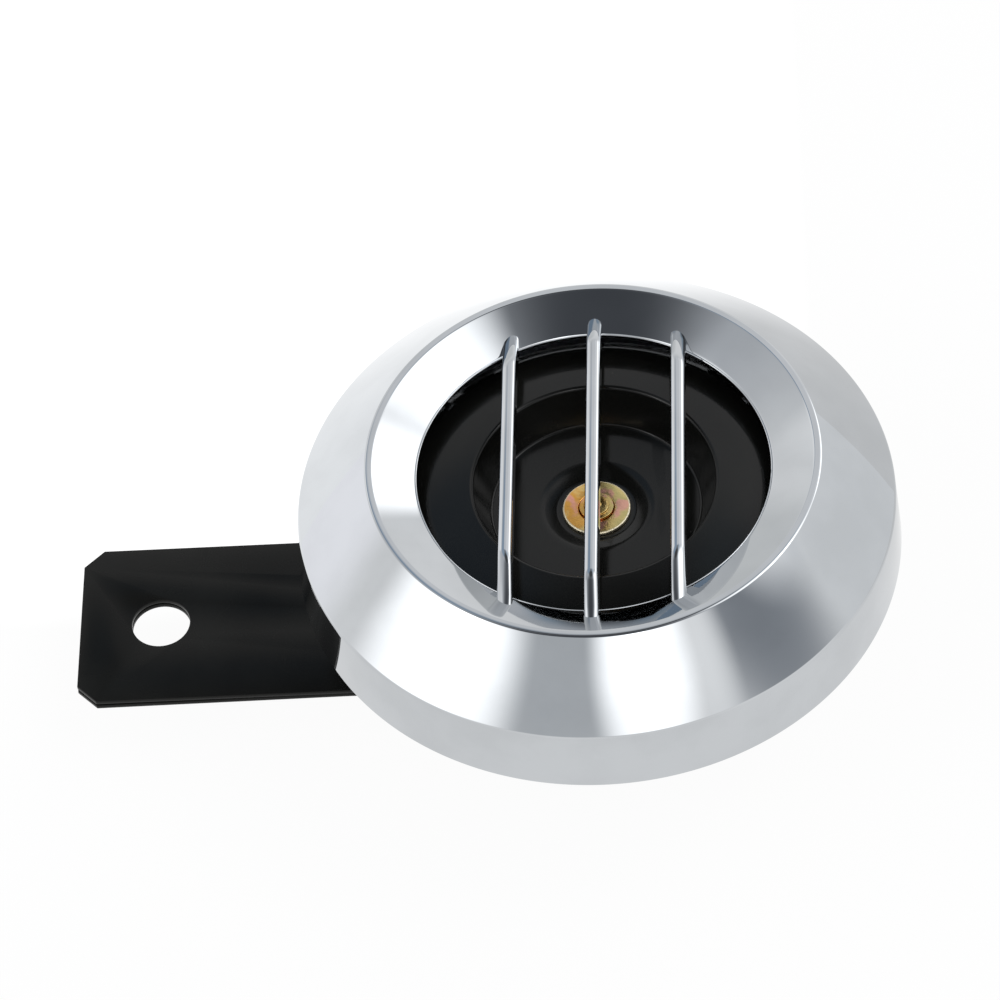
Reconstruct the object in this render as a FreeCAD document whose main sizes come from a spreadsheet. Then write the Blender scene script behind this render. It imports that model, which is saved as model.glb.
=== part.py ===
import FreeCAD
import Part
import Sketcher
import math
import os

# Electric disc horn for a 12 V car, lying on its back with its face up.
# The axis of the horn is Z, the mounting bracket points towards -X and the grille bars run along Y.
# The origin is on the axis, at the tip of the rear stud. All lengths are in millimetres.

SIZES = (
    # rear stack on the stud, from the tip towards the face
    ("stud_dia", 6.0, "M6 stud of the pole core"),
    ("stud_past_nut", 2.0, "stud length beyond the nut"),
    ("stud_chamfer", 0.6, "tip of the stud"),
    ("nut_height", 5.0, "M6 hexagon nut"),
    ("nut_flats", 10.0, "across the flats"),
    ("nut_chamfer_slope", 0.577, "rise of its corner chamfer over its run, 30 degrees"),
    ("spring_washer_thick", 1.6, "lock washer under the nut"),
    ("spring_washer_dia", 11.8, "lock washer, outside"),
    ("spring_washer_slit", 1.2, "gap of the lock washer"),
    ("thread_fit", 0.05, "radial clearance round the stud in the nut"),
    ("hole_fit", 0.2, "radial clearance of a piece on its spigot or rivet"),
    # mounting bracket of two leaves
    ("leaf_thick", 0.8, "one bracket leaf"),
    ("bracket_width", 29.4, "both leaves"),
    ("bracket_reach", 81.3, "axis to the free end"),
    ("bracket_corner", 3.05, "chamfer of the free corners"),
    ("mount_hole_dia", 9.0, "hole for the M8 mounting bolt"),
    ("mount_hole_edge", 12.5, "hole centre to the free end"),
    ("leaf_splay", 0.35, "the rear leaf stands off the front one at the free end"),
    ("splay_start", 40.0, "axis to where the rear leaf leaves the front one"),
    # housing
    ("housing_thick", 1.2, "drawn steel"),
    ("housing_spare", 8.8, "breaker post to the outside of the lower cup"),
    ("housing_floor_round", 3.5, "rear edge"),
    ("upper_cup_height", 3.95, "straight part of the upper cup"),
    ("cup_step_height", 2.6, "height of the widening"),
    ("cup_widening", 3.4, "upper cup beyond the lower one"),
    ("flange_width", 5.8, "flange beyond the upper cup"),
    ("housing_bend", 1.2, "bends of the step and the flange"),
    # clamped stack at the flange
    ("gasket_thick", 0.5, "paper gasket"),
    ("gasket_width", 3.8, "gaskets, radially"),
    ("diaphragm_thick", 0.45, "spring-steel sheet"),
    ("clamp_thick", 1.0, "clamp ring sheet"),
    ("front_lip", 5.8, "front lip of the clamp ring, radially"),
    ("rear_lip", 3.4, "rear lip of the clamp ring, radially"),
    ("clamp_bend", 0.3, "inner bend of the clamp ring"),
    ("flange_play", 0.4, "flange edge to the clamp ring wall"),
    # pole core, coil and armature
    ("core_r", 7.0, "pole core"),
    ("core_height", 11.9, "housing floor to the pole face"),
    ("pole_round", 0.4, "edge of the pole face"),
    ("air_gap", 0.9, "pole face to armature"),
    ("bobbin_lift", 0.3, "bobbin above the housing floor"),
    ("bobbin_below_pole", 1.6, "front flange of the bobbin below the pole face"),
    ("bobbin_r", 15.0, "bobbin flange"),
    ("bobbin_wall", 1.0, "bobbin tube and flanges"),
    ("winding_margin", 0.8, "copper to the edge of the bobbin"),
    ("winding_fit", 0.1, "winding to the bobbin"),
    ("armature_r", 13.0, "armature disc"),
    ("armature_thick", 4.0, "armature disc"),
    ("armature_round", 0.5, "edges of the armature disc"),
    ("stem_r", 2.6, "armature stem"),
    ("stem_fit", 0.06, "radial clearance round the stem"),
    ("stem_proud", 0.65, "riveted end above the front washer"),
    ("rivet_ring_r", 1.9, "raised ring of the riveted end"),
    ("rivet_step", 0.3, "height of that ring"),
    ("rivet_ring_round", 0.12, "outer edge of that ring"),
    ("rivet_dimple_r", 0.75, "centre dimple of the riveted end"),
    ("backing_r", 8.0, "washer behind the diaphragm"),
    ("backing_thick", 1.5, "washer behind the diaphragm"),
    ("spacer_r", 6.2, "spacer behind the tone disc"),
    ("spacer_thick", 1.95, "spacer behind the tone disc"),
    ("diaphragm_rise", 2.35, "flat centre to the clamped edge"),
    ("inner_step_run", 4.0, "inner slope of the diaphragm, radially"),
    ("diaphragm_step_w", 3.0, "width of the middle step"),
    ("outer_step_run", 4.0, "outer slope of the diaphragm, radially"),
    ("clamped_margin", 3.6, "foot of the outer slope to the gasket"),
    ("diaphragm_bend", 1.0, "bends of the diaphragm"),
    # tone disc
    ("disc_thick", 1.0, "tone disc sheet"),
    ("dimple_margin", 0.75, "edge of the washer to the foot of the dimple's wall"),
    ("dimple_depth", 0.8, "washer seat below the bowl floor"),
    ("dimple_slant", 2.4, "radial run of the dimple's wall"),
    ("dimple_foot_bend", 1.6, "bend at the foot of the dimple's wall"),
    ("dimple_bend", 4.0, "bend at the top of the dimple's wall"),
    ("bowl_floor_r", 15.0, "corner of the bowl floor"),
    ("bowl_floor_bend", 5.0, "bend at the bowl floor"),
    ("bowl_depth", 6.3, "bowl floor to the flat rim"),
    ("bowl_lean", 2.7, "radial run of the bowl wall"),
    ("bowl_edge_bend", 1.3, "edge of the bowl"),
    ("disc_roll_run", 3.7, "rolled part of the rim, radially"),
    ("disc_roll_bend", 8.0, "radius of that roll"),
    ("disc_hidden", 3.7, "disc beyond the opening of the cover"),
    ("disc_drop", 3.4, "edge of the disc below its flat rim"),
    ("front_washer_r", 5.15, "yellow washer on the disc"),
    ("front_washer_thick", 0.6, "yellow washer on the disc"),
    ("front_washer_round", 0.25, "its outer edge"),
    # trim cover
    ("cover_turn", -1.3, "the cover is clipped on slightly turned"),
    ("cover_wall", 1.2, "moulded wall"),
    ("skirt_play", 1.0, "clamp ring to the inside of the cover"),
    ("mouth_over_disc", 2.25, "opening edge above the flat rim of the disc"),
    ("rim_round", 1.0, "rim edge"),
    ("skirt_flare", 0.75, "the skirt's foot is wider than the rim"),
    ("skirt_height", 10.4, "rim to the foot of the skirt"),
    ("foot_round", 0.35, "edges of the skirt's foot"),
    ("cone_run", 11.0, "rim to the crest, radially"),
    ("crest_rise", 10.2, "rim to crest"),
    ("crest_width", 0.95, "flat top of the crest"),
    ("crest_outer_round", 1.2, "outer edge of the crest"),
    ("crest_round", 0.4, "inner edge of the crest"),
    ("funnel_run", 6.55, "crest to the opening edge, radially"),
    ("mouth_rise", 6.75, "rim to the opening edge"),
    ("mouth_round", 0.55, "lip of the opening"),
    ("bar_pitch", 12.74, "grille bars, centre to centre"),
    ("bar_top_rise", 10.7, "rim to the top of the bars"),
    ("bar_top_width", 2.1, "top of a bar, before its edges are rounded"),
    ("bar_base_width", 2.3, "underside of a bar"),
    ("bar_depth", 2.8, "height of a bar's section"),
    ("bar_round", 0.42, "top edges of a bar"),
    ("bar_flat_back", 4.3, "the level tops end this far inside the opening"),
    ("bar_foot_run", 2.4, "the tops meet the funnel this far outside the opening"),
    ("bar_bury", 0.5, "the foot runs on into the funnel's wall"),
    ("bar_tuck", 0.8, "underside of a bar's foot beyond the opening edge"),
    ("rib_count", 8, "ribs that sit on the clamp ring"),
    ("rib_thick", 1.4, "one rib"),
    ("rib_back", 1.2, "inner end of a rib to the edge of the clamp ring"),
    ("seat_gap", 0.3, "cover rib to clamp ring"),
    ("hook_count", 6, "snap hooks in the skirt"),
    ("hook_width", 7.0, "one hook"),
    ("hook_reach", 0.4, "hook under the clamp ring"),
    ("hook_land", 0.5, "blunt nose of a hook"),
    ("hook_ramp", 1.6, "lead-in of a hook"),
    # contact breaker
    ("post_gap", 2.4, "bobbin to the post"),
    ("post_inner_x", -7.0, "end of the post towards the contacts"),
    ("post_length", 9.4, "along X"),
    ("post_width", 6.0, "along Y"),
    ("blade_drop", 1.2, "underside of the contact spring below the armature"),
    ("blade_thick", 0.3, "contact spring"),
    ("blade_width", 5.6, "contact spring"),
    ("blade_past_contact", 3.0, "spring beyond its contact"),
    ("blade_corner", 0.5, "outer corners of the spring"),
    ("blade_neck_round", 0.8, "spring to its tongue"),
    ("insulator_thick", 1.2, "between the blades"),
    ("cap_thick", 0.8, "insulator under the rivet heads"),
    ("arm_thick", 0.8, "fixed contact arm"),
    ("arm_corner", 1.2, "free corners of the arm"),
    ("arm_past_screw", 1.0, "arm beyond the adjusting screw"),
    ("contact_x", 4.0, "contacts and push pin"),
    ("contact_r", 1.8, "contact head"),
    ("contact_shank_r", 0.9, "contact shank"),
    ("contact_back", 0.45, "riveted back of a contact"),
    ("contact_back_r", 1.35, "riveted back of a contact"),
    ("pin_inset", 2.4, "edge of the armature to the push pin"),
    ("pin_r", 1.5, "push pin head"),
    ("pin_play", 0.05, "push pin to the armature"),
    ("tongue_width", 4.6, "tongue of the contact spring"),
    ("tongue_past_pin", 0.6, "tongue beyond the push pin"),
    ("tongue_corner", 1.0, "end of the tongue"),
    ("rivet_r", 1.25, "breaker rivets"),
    ("rivet_head_r", 2.2, "breaker rivets"),
    ("rivet_head_thick", 1.0, "breaker rivets"),
    ("rivet_pitch", 4.8, "the two breaker rivets"),
    # adjusting screw
    ("adjust_x", 11.6, "adjusting screw"),
    ("adjust_r", 2.0, "M4 thread"),
    ("adjust_head_r", 3.4, "screw head"),
    ("adjust_head_thick", 2.2, "screw head"),
    ("adjust_slot_width", 0.9, "screwdriver slot"),
    ("adjust_slot_depth", 1.1, "screwdriver slot"),
    ("adjust_head_gap", 1.2, "head to the bush"),
    ("running_fit", 0.05, "radial clearance of the turning screw"),
    ("bush_r", 4.4, "bush flange"),
    ("bush_neck_r", 3.2, "bush body through the floor"),
    ("bush_flange_thick", 1.2, "bush flange behind the floor"),
    ("bush_length", 5.0, "bush body above the floor"),
    # arc resistor
    ("resistor_r", 2.4, "ceramic body"),
    ("resistor_length", 11.0, "ceramic body"),
    ("resistor_gap", 4.1, "bobbin to the resistor"),
    ("resistor_wire_r", 0.4, "lead wire"),
    ("resistor_wire_run", 3.2, "straight part of a lead wire"),
    # terminals
    ("terminal_turn", 20.0, "terminal base about the horn's axis"),
    ("base_back", 4.6, "inner end of the base to the rivets"),
    ("base_length", 11.2, "radial length"),
    ("base_width", 22.0, "across both tabs"),
    ("base_thick", 3.2, "below the housing"),
    ("base_round", 1.8, "corners"),
    ("base_neck_r", 2.6, "insulating neck through the floor"),
    ("tab_width", 6.3, "blade terminal"),
    ("tab_thick", 0.8, "blade terminal"),
    ("tab_pitch", 11.0, "the two tabs"),
    ("tab_reach", 15.2, "rivets to the tip of the tabs"),
    ("tab_tip_chamfer", 1.1, "tip of the tabs"),
    ("tab_on_base", 1.0, "inner end of a tab to the inner end of the base"),
    ("tab_corner", 0.8, "inner corners of the tabs"),
    ("tab_hole_r", 0.85, "latch hole"),
    ("tab_hole_back", 3.2, "latch hole to the tip"),
    ("tab_inset", 8.0, "terminal rivets to the outside of the housing"),
    ("tab_rivet_r", 1.5, "terminal rivets"),
    ("tab_rivet_head_r", 2.5, "terminal rivets"),
    ("tab_rivet_head_thick", 0.9, "terminal rivets"),
    ("inner_washer_r", 3.8, "fibre washer inside the housing"),
    ("inner_washer_thick", 0.8, "fibre washer inside the housing"),
)

NUT_SIDES = 6
# A cutting outline reaches this far past the piece.
OVERRUN = 1.0
# An edge is found by its place within this distance.
NEAR = 0.05
# Rounding of the bracket's heel as a share of half its width.
HEEL_SHARE = 0.98


class Size:
    """A number together with the formula that the document keeps for it."""

    def __init__(self, number, formula):
        self.number = number
        self.formula = formula

    def __add__(self, other):
        other = as_size(other)
        return Size(self.number + other.number, f"({self.formula} + {other.formula})")

    def __sub__(self, other):
        other = as_size(other)
        return Size(self.number - other.number, f"({self.formula} - {other.formula})")

    def __mul__(self, other):
        other = as_size(other)
        return Size(self.number * other.number, f"({self.formula} * {other.formula})")

    def __truediv__(self, other):
        other = as_size(other)
        return Size(self.number / other.number, f"({self.formula} / {other.formula})")

    def __neg__(self):
        return Size(-self.number, f"(0 - {self.formula})")

    def __radd__(self, other):
        return as_size(other) + self

    def __rsub__(self, other):
        return as_size(other) - self

    def __rmul__(self, other):
        return as_size(other) * self


def as_size(value):
    if isinstance(value, Size):
        return value
    if value < 0:
        return Size(float(value), f"(0 - {-float(value)})")
    return Size(float(value), f"{float(value)}")


def cos_of(angle):
    return Size(math.cos(math.radians(angle.number)), f"cos({angle.formula} * 1 deg)")


def sin_of(angle):
    return Size(math.sin(math.radians(angle.number)), f"sin({angle.formula} * 1 deg)")


class Names:
    """Sizes by name, as attributes."""


doc = FreeCAD.newDocument("DiscHorn")
sheet = doc.addObject("Spreadsheet::Sheet", "Sizes")
s = Names()
for row, (alias, number, note) in enumerate(SIZES, 1):
    sheet.set(f"A{row}", alias)
    sheet.set(f"B{row}", str(number))
    sheet.setAlias(f"B{row}", alias)
    sheet.set(f"C{row}", note)
    setattr(s, alias, Size(float(number), f"Sizes.{alias}"))
doc.recompute()

# Levels along the axis, from the stud's tip to the face.
nut_low = s.stud_past_nut
nut_high = nut_low + s.nut_height
rear_leaf_low = nut_high + s.spring_washer_thick
front_leaf_low = rear_leaf_low + s.leaf_thick
rear_face = front_leaf_low + s.leaf_thick
floor_level = rear_face + s.housing_thick
pole_face = floor_level + s.core_height
armature_low = pole_face + s.air_gap
armature_high = armature_low + s.armature_thick
diaphragm_low = armature_high + s.backing_thick
diaphragm_high = diaphragm_low + s.diaphragm_thick
disc_low = diaphragm_high + s.spacer_thick
dimple_level = disc_low + s.disc_thick
washer_level = dimple_level + s.front_washer_thick
bowl_level = dimple_level + s.dimple_depth
disc_level = bowl_level + s.bowl_depth
clamped_low = diaphragm_low + s.diaphragm_rise
clamped_high = clamped_low + s.diaphragm_thick
ring_inside = clamped_high + s.gasket_thick
ring_level = ring_inside + s.clamp_thick
flange_high = clamped_low - s.gasket_thick
flange_low = flange_high - s.housing_thick
ring_low = flange_low - s.clamp_thick
cup_step_high = flange_low - s.upper_cup_height
cup_step_low = cup_step_high - s.cup_step_height
mouth_level = disc_level + s.mouth_over_disc
rim_level = mouth_level - s.mouth_rise
crest_level = rim_level + s.crest_rise
foot_level = rim_level - s.skirt_height
bobbin_low = floor_level + s.bobbin_lift
bobbin_high = pole_face - s.bobbin_below_pole
post_level = armature_low - s.blade_drop
blade_level = post_level + s.blade_thick
arm_low = blade_level + s.insulator_thick
arm_high = arm_low + s.arm_thick

# Radii and places across the axis, from the coil outwards to the cover.
breaker_y = s.bobbin_r + s.post_gap + s.post_width / 2
pin_y = s.armature_r - s.pin_inset
resistor_y = -(s.bobbin_r + s.resistor_gap + s.resistor_r)
housing_floor_r = breaker_y + s.post_width / 2 + s.housing_spare
housing_mouth_r = housing_floor_r + s.cup_widening
flange_edge_r = housing_mouth_r + s.flange_width
clamp_r = flange_edge_r + s.flange_play + s.clamp_thick
clamp_top_inner_r = clamp_r - s.front_lip
clamp_lip_inner_r = clamp_r - s.rear_lip
gasket_inner_r = flange_edge_r - s.gasket_width
diaphragm_mouth_r = gasket_inner_r - s.clamped_margin
step_outer_r = diaphragm_mouth_r - s.outer_step_run
diaphragm_step_r = step_outer_r - s.diaphragm_step_w
diaphragm_flat_r = diaphragm_step_r - s.inner_step_run
rim_r = clamp_r + s.skirt_play + s.cover_wall
crest_r = rim_r - s.cone_run
crest_inner_r = crest_r - s.crest_width
mouth_r = crest_inner_r - s.funnel_run
bar_flat_r = mouth_r - s.bar_flat_back
bar_foot_r = mouth_r + s.bar_foot_run
rib_inner_r = clamp_top_inner_r + s.rib_back
disc_r = mouth_r + s.disc_hidden
disc_roll_r = disc_r - s.disc_roll_run
dimple_r = s.front_washer_r + s.dimple_margin
tab_rivet_x = housing_floor_r - s.tab_inset
base_inner_x = tab_rivet_x - s.base_back
tab_tip_x = tab_rivet_x + s.tab_reach


def new_body(label):
    body = doc.addObject("PartDesign::Body", label)
    body.Label = label
    return body


def new_sketch(body, name, role="XZ_Plane", level=None):
    """A sketch on one of the body's own planes; on the XY plane it may lie at a level."""
    sketch = body.newObject("Sketcher::SketchObject", name)
    plane = [item for item in body.Origin.OriginFeatures if item.Role == role][0]
    sketch.AttachmentSupport = [(plane, "")]
    sketch.MapMode = "FlatFace"
    if level is not None:
        sketch.setExpression("AttachmentOffset.Base.z", level.formula)
    return sketch


def bind(sketch, kind, *where, value):
    """A dimension in a sketch, bound to its formula."""
    value = as_size(value)
    index = sketch.addConstraint(Sketcher.Constraint(kind, *where, value.number))
    sketch.setExpression(f"Constraints[{index}]", value.formula)


def fix_point(sketch, geometry, position, x, y):
    bind(sketch, "DistanceX", geometry, position, value=x)
    bind(sketch, "DistanceY", geometry, position, value=y)


def vector(x, y):
    return FreeCAD.Vector(x, y, 0)


def turn_of(before, corner, after):
    """The signed turn of a path at a corner, in radians, positive to the left."""
    into = corner - before
    out = after - corner
    return math.atan2(into.x * out.y - into.y * out.x, into.x * out.x + into.y * out.y)


def corner_arc(before, corner, after, radius):
    """The arc that rounds a corner, with the tangent points where it begins and ends."""
    into = (corner - before).normalize()
    out = (after - corner).normalize()
    turn = turn_of(before, corner, after)
    back = radius * math.tan(abs(turn) / 2)
    begin = corner - into * back
    end = corner + out * back
    side = 1 if turn > 0 else -1
    centre = begin + vector(-into.y, into.x) * (radius * side)
    return begin, end, centre, side


def add_arc(sketch, begin, end, centre, side, radius):
    """An arc from begin to end; returns its index and the positions of its two ends."""
    first, last = (begin, end) if side > 0 else (end, begin)
    start_angle = math.atan2(first.y - centre.y, first.x - centre.x)
    end_angle = math.atan2(last.y - centre.y, last.x - centre.x)
    circle = Part.Circle(centre, FreeCAD.Vector(0, 0, 1), radius)
    arc = sketch.addGeometry(Part.ArcOfCircle(circle, start_angle, end_angle), False)
    return (arc, 1, 2) if side > 0 else (arc, 2, 1)


def outline(sketch, corners):
    """A closed outline; a corner is (x, y) or (x, y, radius)."""
    places = [vector(as_size(c[0]).number, as_size(c[1]).number) for c in corners]
    count = len(corners)
    rounds = {}
    for i, corner in enumerate(corners):
        if len(corner) > 2:
            radius = as_size(corner[2]).number
            rounds[i] = corner_arc(places[i - 1], places[i], places[(i + 1) % count], radius)
    lines = []
    for i in range(count):
        j = (i + 1) % count
        begin = rounds[i][1] if i in rounds else places[i]
        end = rounds[j][0] if j in rounds else places[j]
        lines.append(sketch.addGeometry(Part.LineSegment(begin, end), False))
    for i, corner in enumerate(corners):
        before = lines[i - 1]
        after = lines[i]
        if i not in rounds:
            sketch.addConstraint(Sketcher.Constraint("Coincident", before, 2, after, 1))
            fix_point(sketch, after, 1, corner[0], corner[1])
            continue
        point = sketch.addGeometry(Part.Point(places[i]), True)
        fix_point(sketch, point, 1, corner[0], corner[1])
        sketch.addConstraint(Sketcher.Constraint("PointOnObject", point, 1, before))
        sketch.addConstraint(Sketcher.Constraint("PointOnObject", point, 1, after))
        begin, end, centre, side = rounds[i]
        radius = as_size(corner[2])
        arc, first, last = add_arc(sketch, begin, end, centre, side, radius.number)
        sketch.addConstraint(Sketcher.Constraint("Tangent", before, 2, arc, first))
        sketch.addConstraint(Sketcher.Constraint("Tangent", arc, last, after, 1))
        bind(sketch, "Radius", arc, value=radius)
    return lines


def chain(sketch, places, radii):
    """Lines and corner arcs along an open path; returns the lines and the arcs by corner."""
    rounds = {}
    for i, radius in radii.items():
        rounds[i] = corner_arc(places[i - 1], places[i], places[i + 1], radius.number)
    lines = []
    for i in range(len(places) - 1):
        begin = rounds[i][1] if i in rounds else places[i]
        end = rounds[i + 1][0] if i + 1 in rounds else places[i + 1]
        lines.append(sketch.addGeometry(Part.LineSegment(begin, end), False))
    for i in range(1, len(places) - 1):
        if i not in rounds:
            sketch.addConstraint(Sketcher.Constraint("Coincident", lines[i - 1], 2, lines[i], 1))
            continue
        begin, end, centre, side = rounds[i]
        arc, first, last = add_arc(sketch, begin, end, centre, side, radii[i].number)
        sketch.addConstraint(Sketcher.Constraint("Tangent", lines[i - 1], 2, arc, first))
        sketch.addConstraint(Sketcher.Constraint("Tangent", arc, last, lines[i], 1))
        bind(sketch, "Radius", arc, value=radii[i])
    return lines


def offset_corner(places, i, distance):
    """Where a corner of a path goes when the path is moved to its left by a distance."""
    normals = []
    for j in (i - 1, i):
        if 0 <= j < len(places) - 1:
            along = (places[j + 1] - places[j]).normalize()
            normals.append(vector(-along.y, along.x))
    if len(normals) == 1:
        return places[i] + normals[0] * distance
    shared = normals[0] + normals[1]
    return places[i] + shared * (distance / (1 + normals[0].dot(normals[1])))


def sheet_outline(sketch, corners, thick):
    """The section of a wall of even thickness, on the left of a path along its outer face."""
    places = [vector(as_size(c[0]).number, as_size(c[1]).number) for c in corners]
    last = len(corners) - 1
    face_radii = {}
    back_radii = {}
    for i in range(1, last):
        if len(corners[i]) < 3:
            continue
        radius = as_size(corners[i][2])
        face_radii[i] = radius
        inward = turn_of(places[i - 1], places[i], places[i + 1]) > 0
        back = radius - thick if inward else radius + thick
        if back.number > 0.05:
            back_radii[i] = back
    face = chain(sketch, places, face_radii)
    for i, corner in enumerate(corners):
        if i in face_radii:
            point = sketch.addGeometry(Part.Point(places[i]), True)
            fix_point(sketch, point, 1, corner[0], corner[1])
            sketch.addConstraint(Sketcher.Constraint("PointOnObject", point, 1, face[i - 1]))
            sketch.addConstraint(Sketcher.Constraint("PointOnObject", point, 1, face[i]))
        elif i == last:
            fix_point(sketch, face[-1], 2, corner[0], corner[1])
        else:
            fix_point(sketch, face[i], 1, corner[0], corner[1])
    moved = [offset_corner(places, i, thick.number) for i in range(last + 1)]
    back = chain(sketch, moved, back_radii)
    for front_line, back_line in zip(face, back):
        sketch.addConstraint(Sketcher.Constraint("Parallel", front_line, back_line))
        bind(sketch, "Distance", back_line, 1, front_line, value=thick)
    for end, line, position in ((0, 0, 1), (last, -1, 2)):
        cap = sketch.addGeometry(Part.LineSegment(places[end], moved[end]), False)
        sketch.addConstraint(Sketcher.Constraint("Coincident", cap, 1, face[line], position))
        sketch.addConstraint(Sketcher.Constraint("Coincident", cap, 2, back[line], position))
        sketch.addConstraint(Sketcher.Constraint("Perpendicular", cap, face[line]))


def circle(sketch, x, y, radius):
    x = as_size(x)
    y = as_size(y)
    radius = as_size(radius)
    round_edge = Part.Circle(vector(x.number, y.number), FreeCAD.Vector(0, 0, 1), radius.number)
    index = sketch.addGeometry(round_edge, False)
    fix_point(sketch, index, 3, x, y)
    bind(sketch, "Radius", index, value=radius)


def rectangle(sketch, x_low, x_high, y_low, y_high):
    outline(sketch, [(x_low, y_low), (x_high, y_low), (x_high, y_high), (x_low, y_high)])


def revolve(body, sketch, name="Revolution"):
    feature = body.newObject("PartDesign::Revolution", name)
    feature.Profile = sketch
    feature.ReferenceAxis = (sketch, ["V_Axis"])
    feature.Angle = 360
    return feature


def pad(body, sketch, length, midplane=False, name="Pad"):
    feature = body.newObject("PartDesign::Pad", name)
    feature.Profile = sketch
    feature.setExpression("Length", as_size(length).formula)
    feature.Midplane = midplane
    return feature


def check_cut(body, feature):
    """A cut has to take something away."""
    before = feature.BaseFeature.Shape.Volume
    doc.recompute()
    if not body.Shape.Volume < before - 1e-6:
        raise ValueError(f"{body.Label}: {feature.Label} cuts nothing")


def pocket(body, sketch, depth=None, midplane=False, upwards=False, name="Pocket"):
    """A cut from the sketch, through everything or to a depth."""
    doc.recompute()
    feature = body.newObject("PartDesign::Pocket", name)
    feature.Profile = sketch
    feature.Midplane = midplane
    feature.Reversed = upwards
    if depth is None:
        feature.Type = "ThroughAll"
    else:
        feature.setExpression("Length", as_size(depth).formula)
    check_cut(body, feature)
    return feature


def groove(body, sketch, name="Groove"):
    doc.recompute()
    feature = body.newObject("PartDesign::Groove", name)
    feature.Profile = sketch
    feature.ReferenceAxis = (sketch, ["V_Axis"])
    feature.Angle = 360
    check_cut(body, feature)
    return feature


def axis_of(body, role):
    return [item for item in body.Origin.OriginFeatures if item.Role == role][0]


def polar_pattern(body, feature, count):
    pattern = body.newObject("PartDesign::PolarPattern", "PolarPattern")
    pattern.Originals = [feature]
    pattern.Axis = (axis_of(body, "Z_Axis"), [""])
    pattern.Angle = 360
    pattern.setExpression("Occurrences", count.formula)
    body.Tip = pattern
    return pattern


def round_edges(body, radius, wanted, name="Fillet"):
    """Rounds the edges of the body that a test picks out."""
    doc.recompute()
    base = body.Tip
    names = [f"Edge{i}" for i, edge in enumerate(base.Shape.Edges, 1) if wanted(edge)]
    feature = body.newObject("PartDesign::Fillet", name)
    feature.Base = (base, names)
    feature.setExpression("Radius", radius.formula)
    return feature


def turn_about_axis(item, angle):
    """Turns a sub-part about the horn's axis."""
    item.Placement = FreeCAD.Placement(vector(0, 0), FreeCAD.Rotation(FreeCAD.Vector(0, 0, 1), 1))
    item.setExpression("Placement.Rotation.Angle", angle.formula)


def ring(label, level, height, outer_r, inner_r):
    """A flat ring about the horn's axis."""
    body = new_body(label)
    sketch = new_sketch(body, "Section", "XY_Plane", level)
    circle(sketch, 0, 0, outer_r)
    circle(sketch, 0, 0, inner_r)
    pad(body, sketch, height)
    return body


def sheet_body(label, corners, thick):
    """A pressed or moulded wall of even thickness about the horn's axis."""
    body = new_body(label)
    sketch = new_sketch(body, "Section")
    sheet_outline(sketch, corners, thick)
    revolve(body, sketch)
    return body


def turned_body(label, corners):
    """A turned piece about the horn's axis."""
    body = new_body(label)
    sketch = new_sketch(body, "Section")
    outline(sketch, corners)
    revolve(body, sketch)
    return body


def make_trim_cover():
    """Cone, crest, funnel and skirt in one moulded wall, with bars, ribs and snap hooks."""
    body = sheet_body("cover_shell", [
        (rim_r + s.skirt_flare, foot_level),
        (rim_r, rim_level, s.rim_round),
        (crest_r, crest_level, s.crest_outer_round),
        (crest_inner_r, crest_level, s.crest_round),
        (mouth_r, mouth_level),
    ], s.cover_wall)
    round_edges(body, s.mouth_round, lambda edge: is_ring_below(edge, mouth_r + s.cover_wall), "MouthRound")
    round_edges(body, s.foot_round, lambda edge: is_ring_at(edge, foot_level), "FootRound")
    add_ribs(body)
    add_hooks(body)
    bars = make_bars()
    cover = doc.addObject("Part::MultiFuse", "trim_cover")
    cover.Label = "trim_cover"
    cover.Shapes = [body, bars]
    cover.Refine = True
    turn_about_axis(cover, s.cover_turn)
    return cover


def is_ring(edge):
    return isinstance(edge.Curve, Part.Circle) and len(edge.Vertexes) == 1


def is_ring_below(edge, radius):
    return is_ring(edge) and edge.Curve.Radius < radius.number


def is_ring_at(edge, level):
    return is_ring(edge) and abs(edge.Curve.Center.z - level.number) < NEAR


def add_ribs(body):
    """Ribs under the cone that sit on the clamp ring."""
    rise = s.crest_rise / s.cone_run
    cone_inner_level = rim_level + (rim_r - rib_inner_r) * rise - s.cover_wall
    seat = ring_level + s.seat_gap
    outer = rim_r - s.cover_wall / 2
    sketch = new_sketch(body, "RibSketch")
    outline(sketch, [
        (rib_inner_r, seat),
        (outer, seat),
        (outer, rim_level),
        (rib_inner_r, cone_inner_level),
    ])
    rib = pad(body, sketch, s.rib_thick, midplane=True, name="Rib")
    polar_pattern(body, rib, s.rib_count)


def add_hooks(body):
    """Hooks inside the skirt that catch the rear lip of the clamp ring."""
    root = rim_r - s.cover_wall / 2
    nose = clamp_r - s.hook_reach
    top = ring_low - s.seat_gap
    sketch = new_sketch(body, "HookSketch")
    outline(sketch, [
        (root, top),
        (nose, top),
        (nose, top - s.hook_land),
        (root, top - s.hook_land - s.hook_ramp),
    ])
    hook = pad(body, sketch, s.hook_width, midplane=True, name="Hook")
    polar_pattern(body, hook, s.hook_count)


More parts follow.
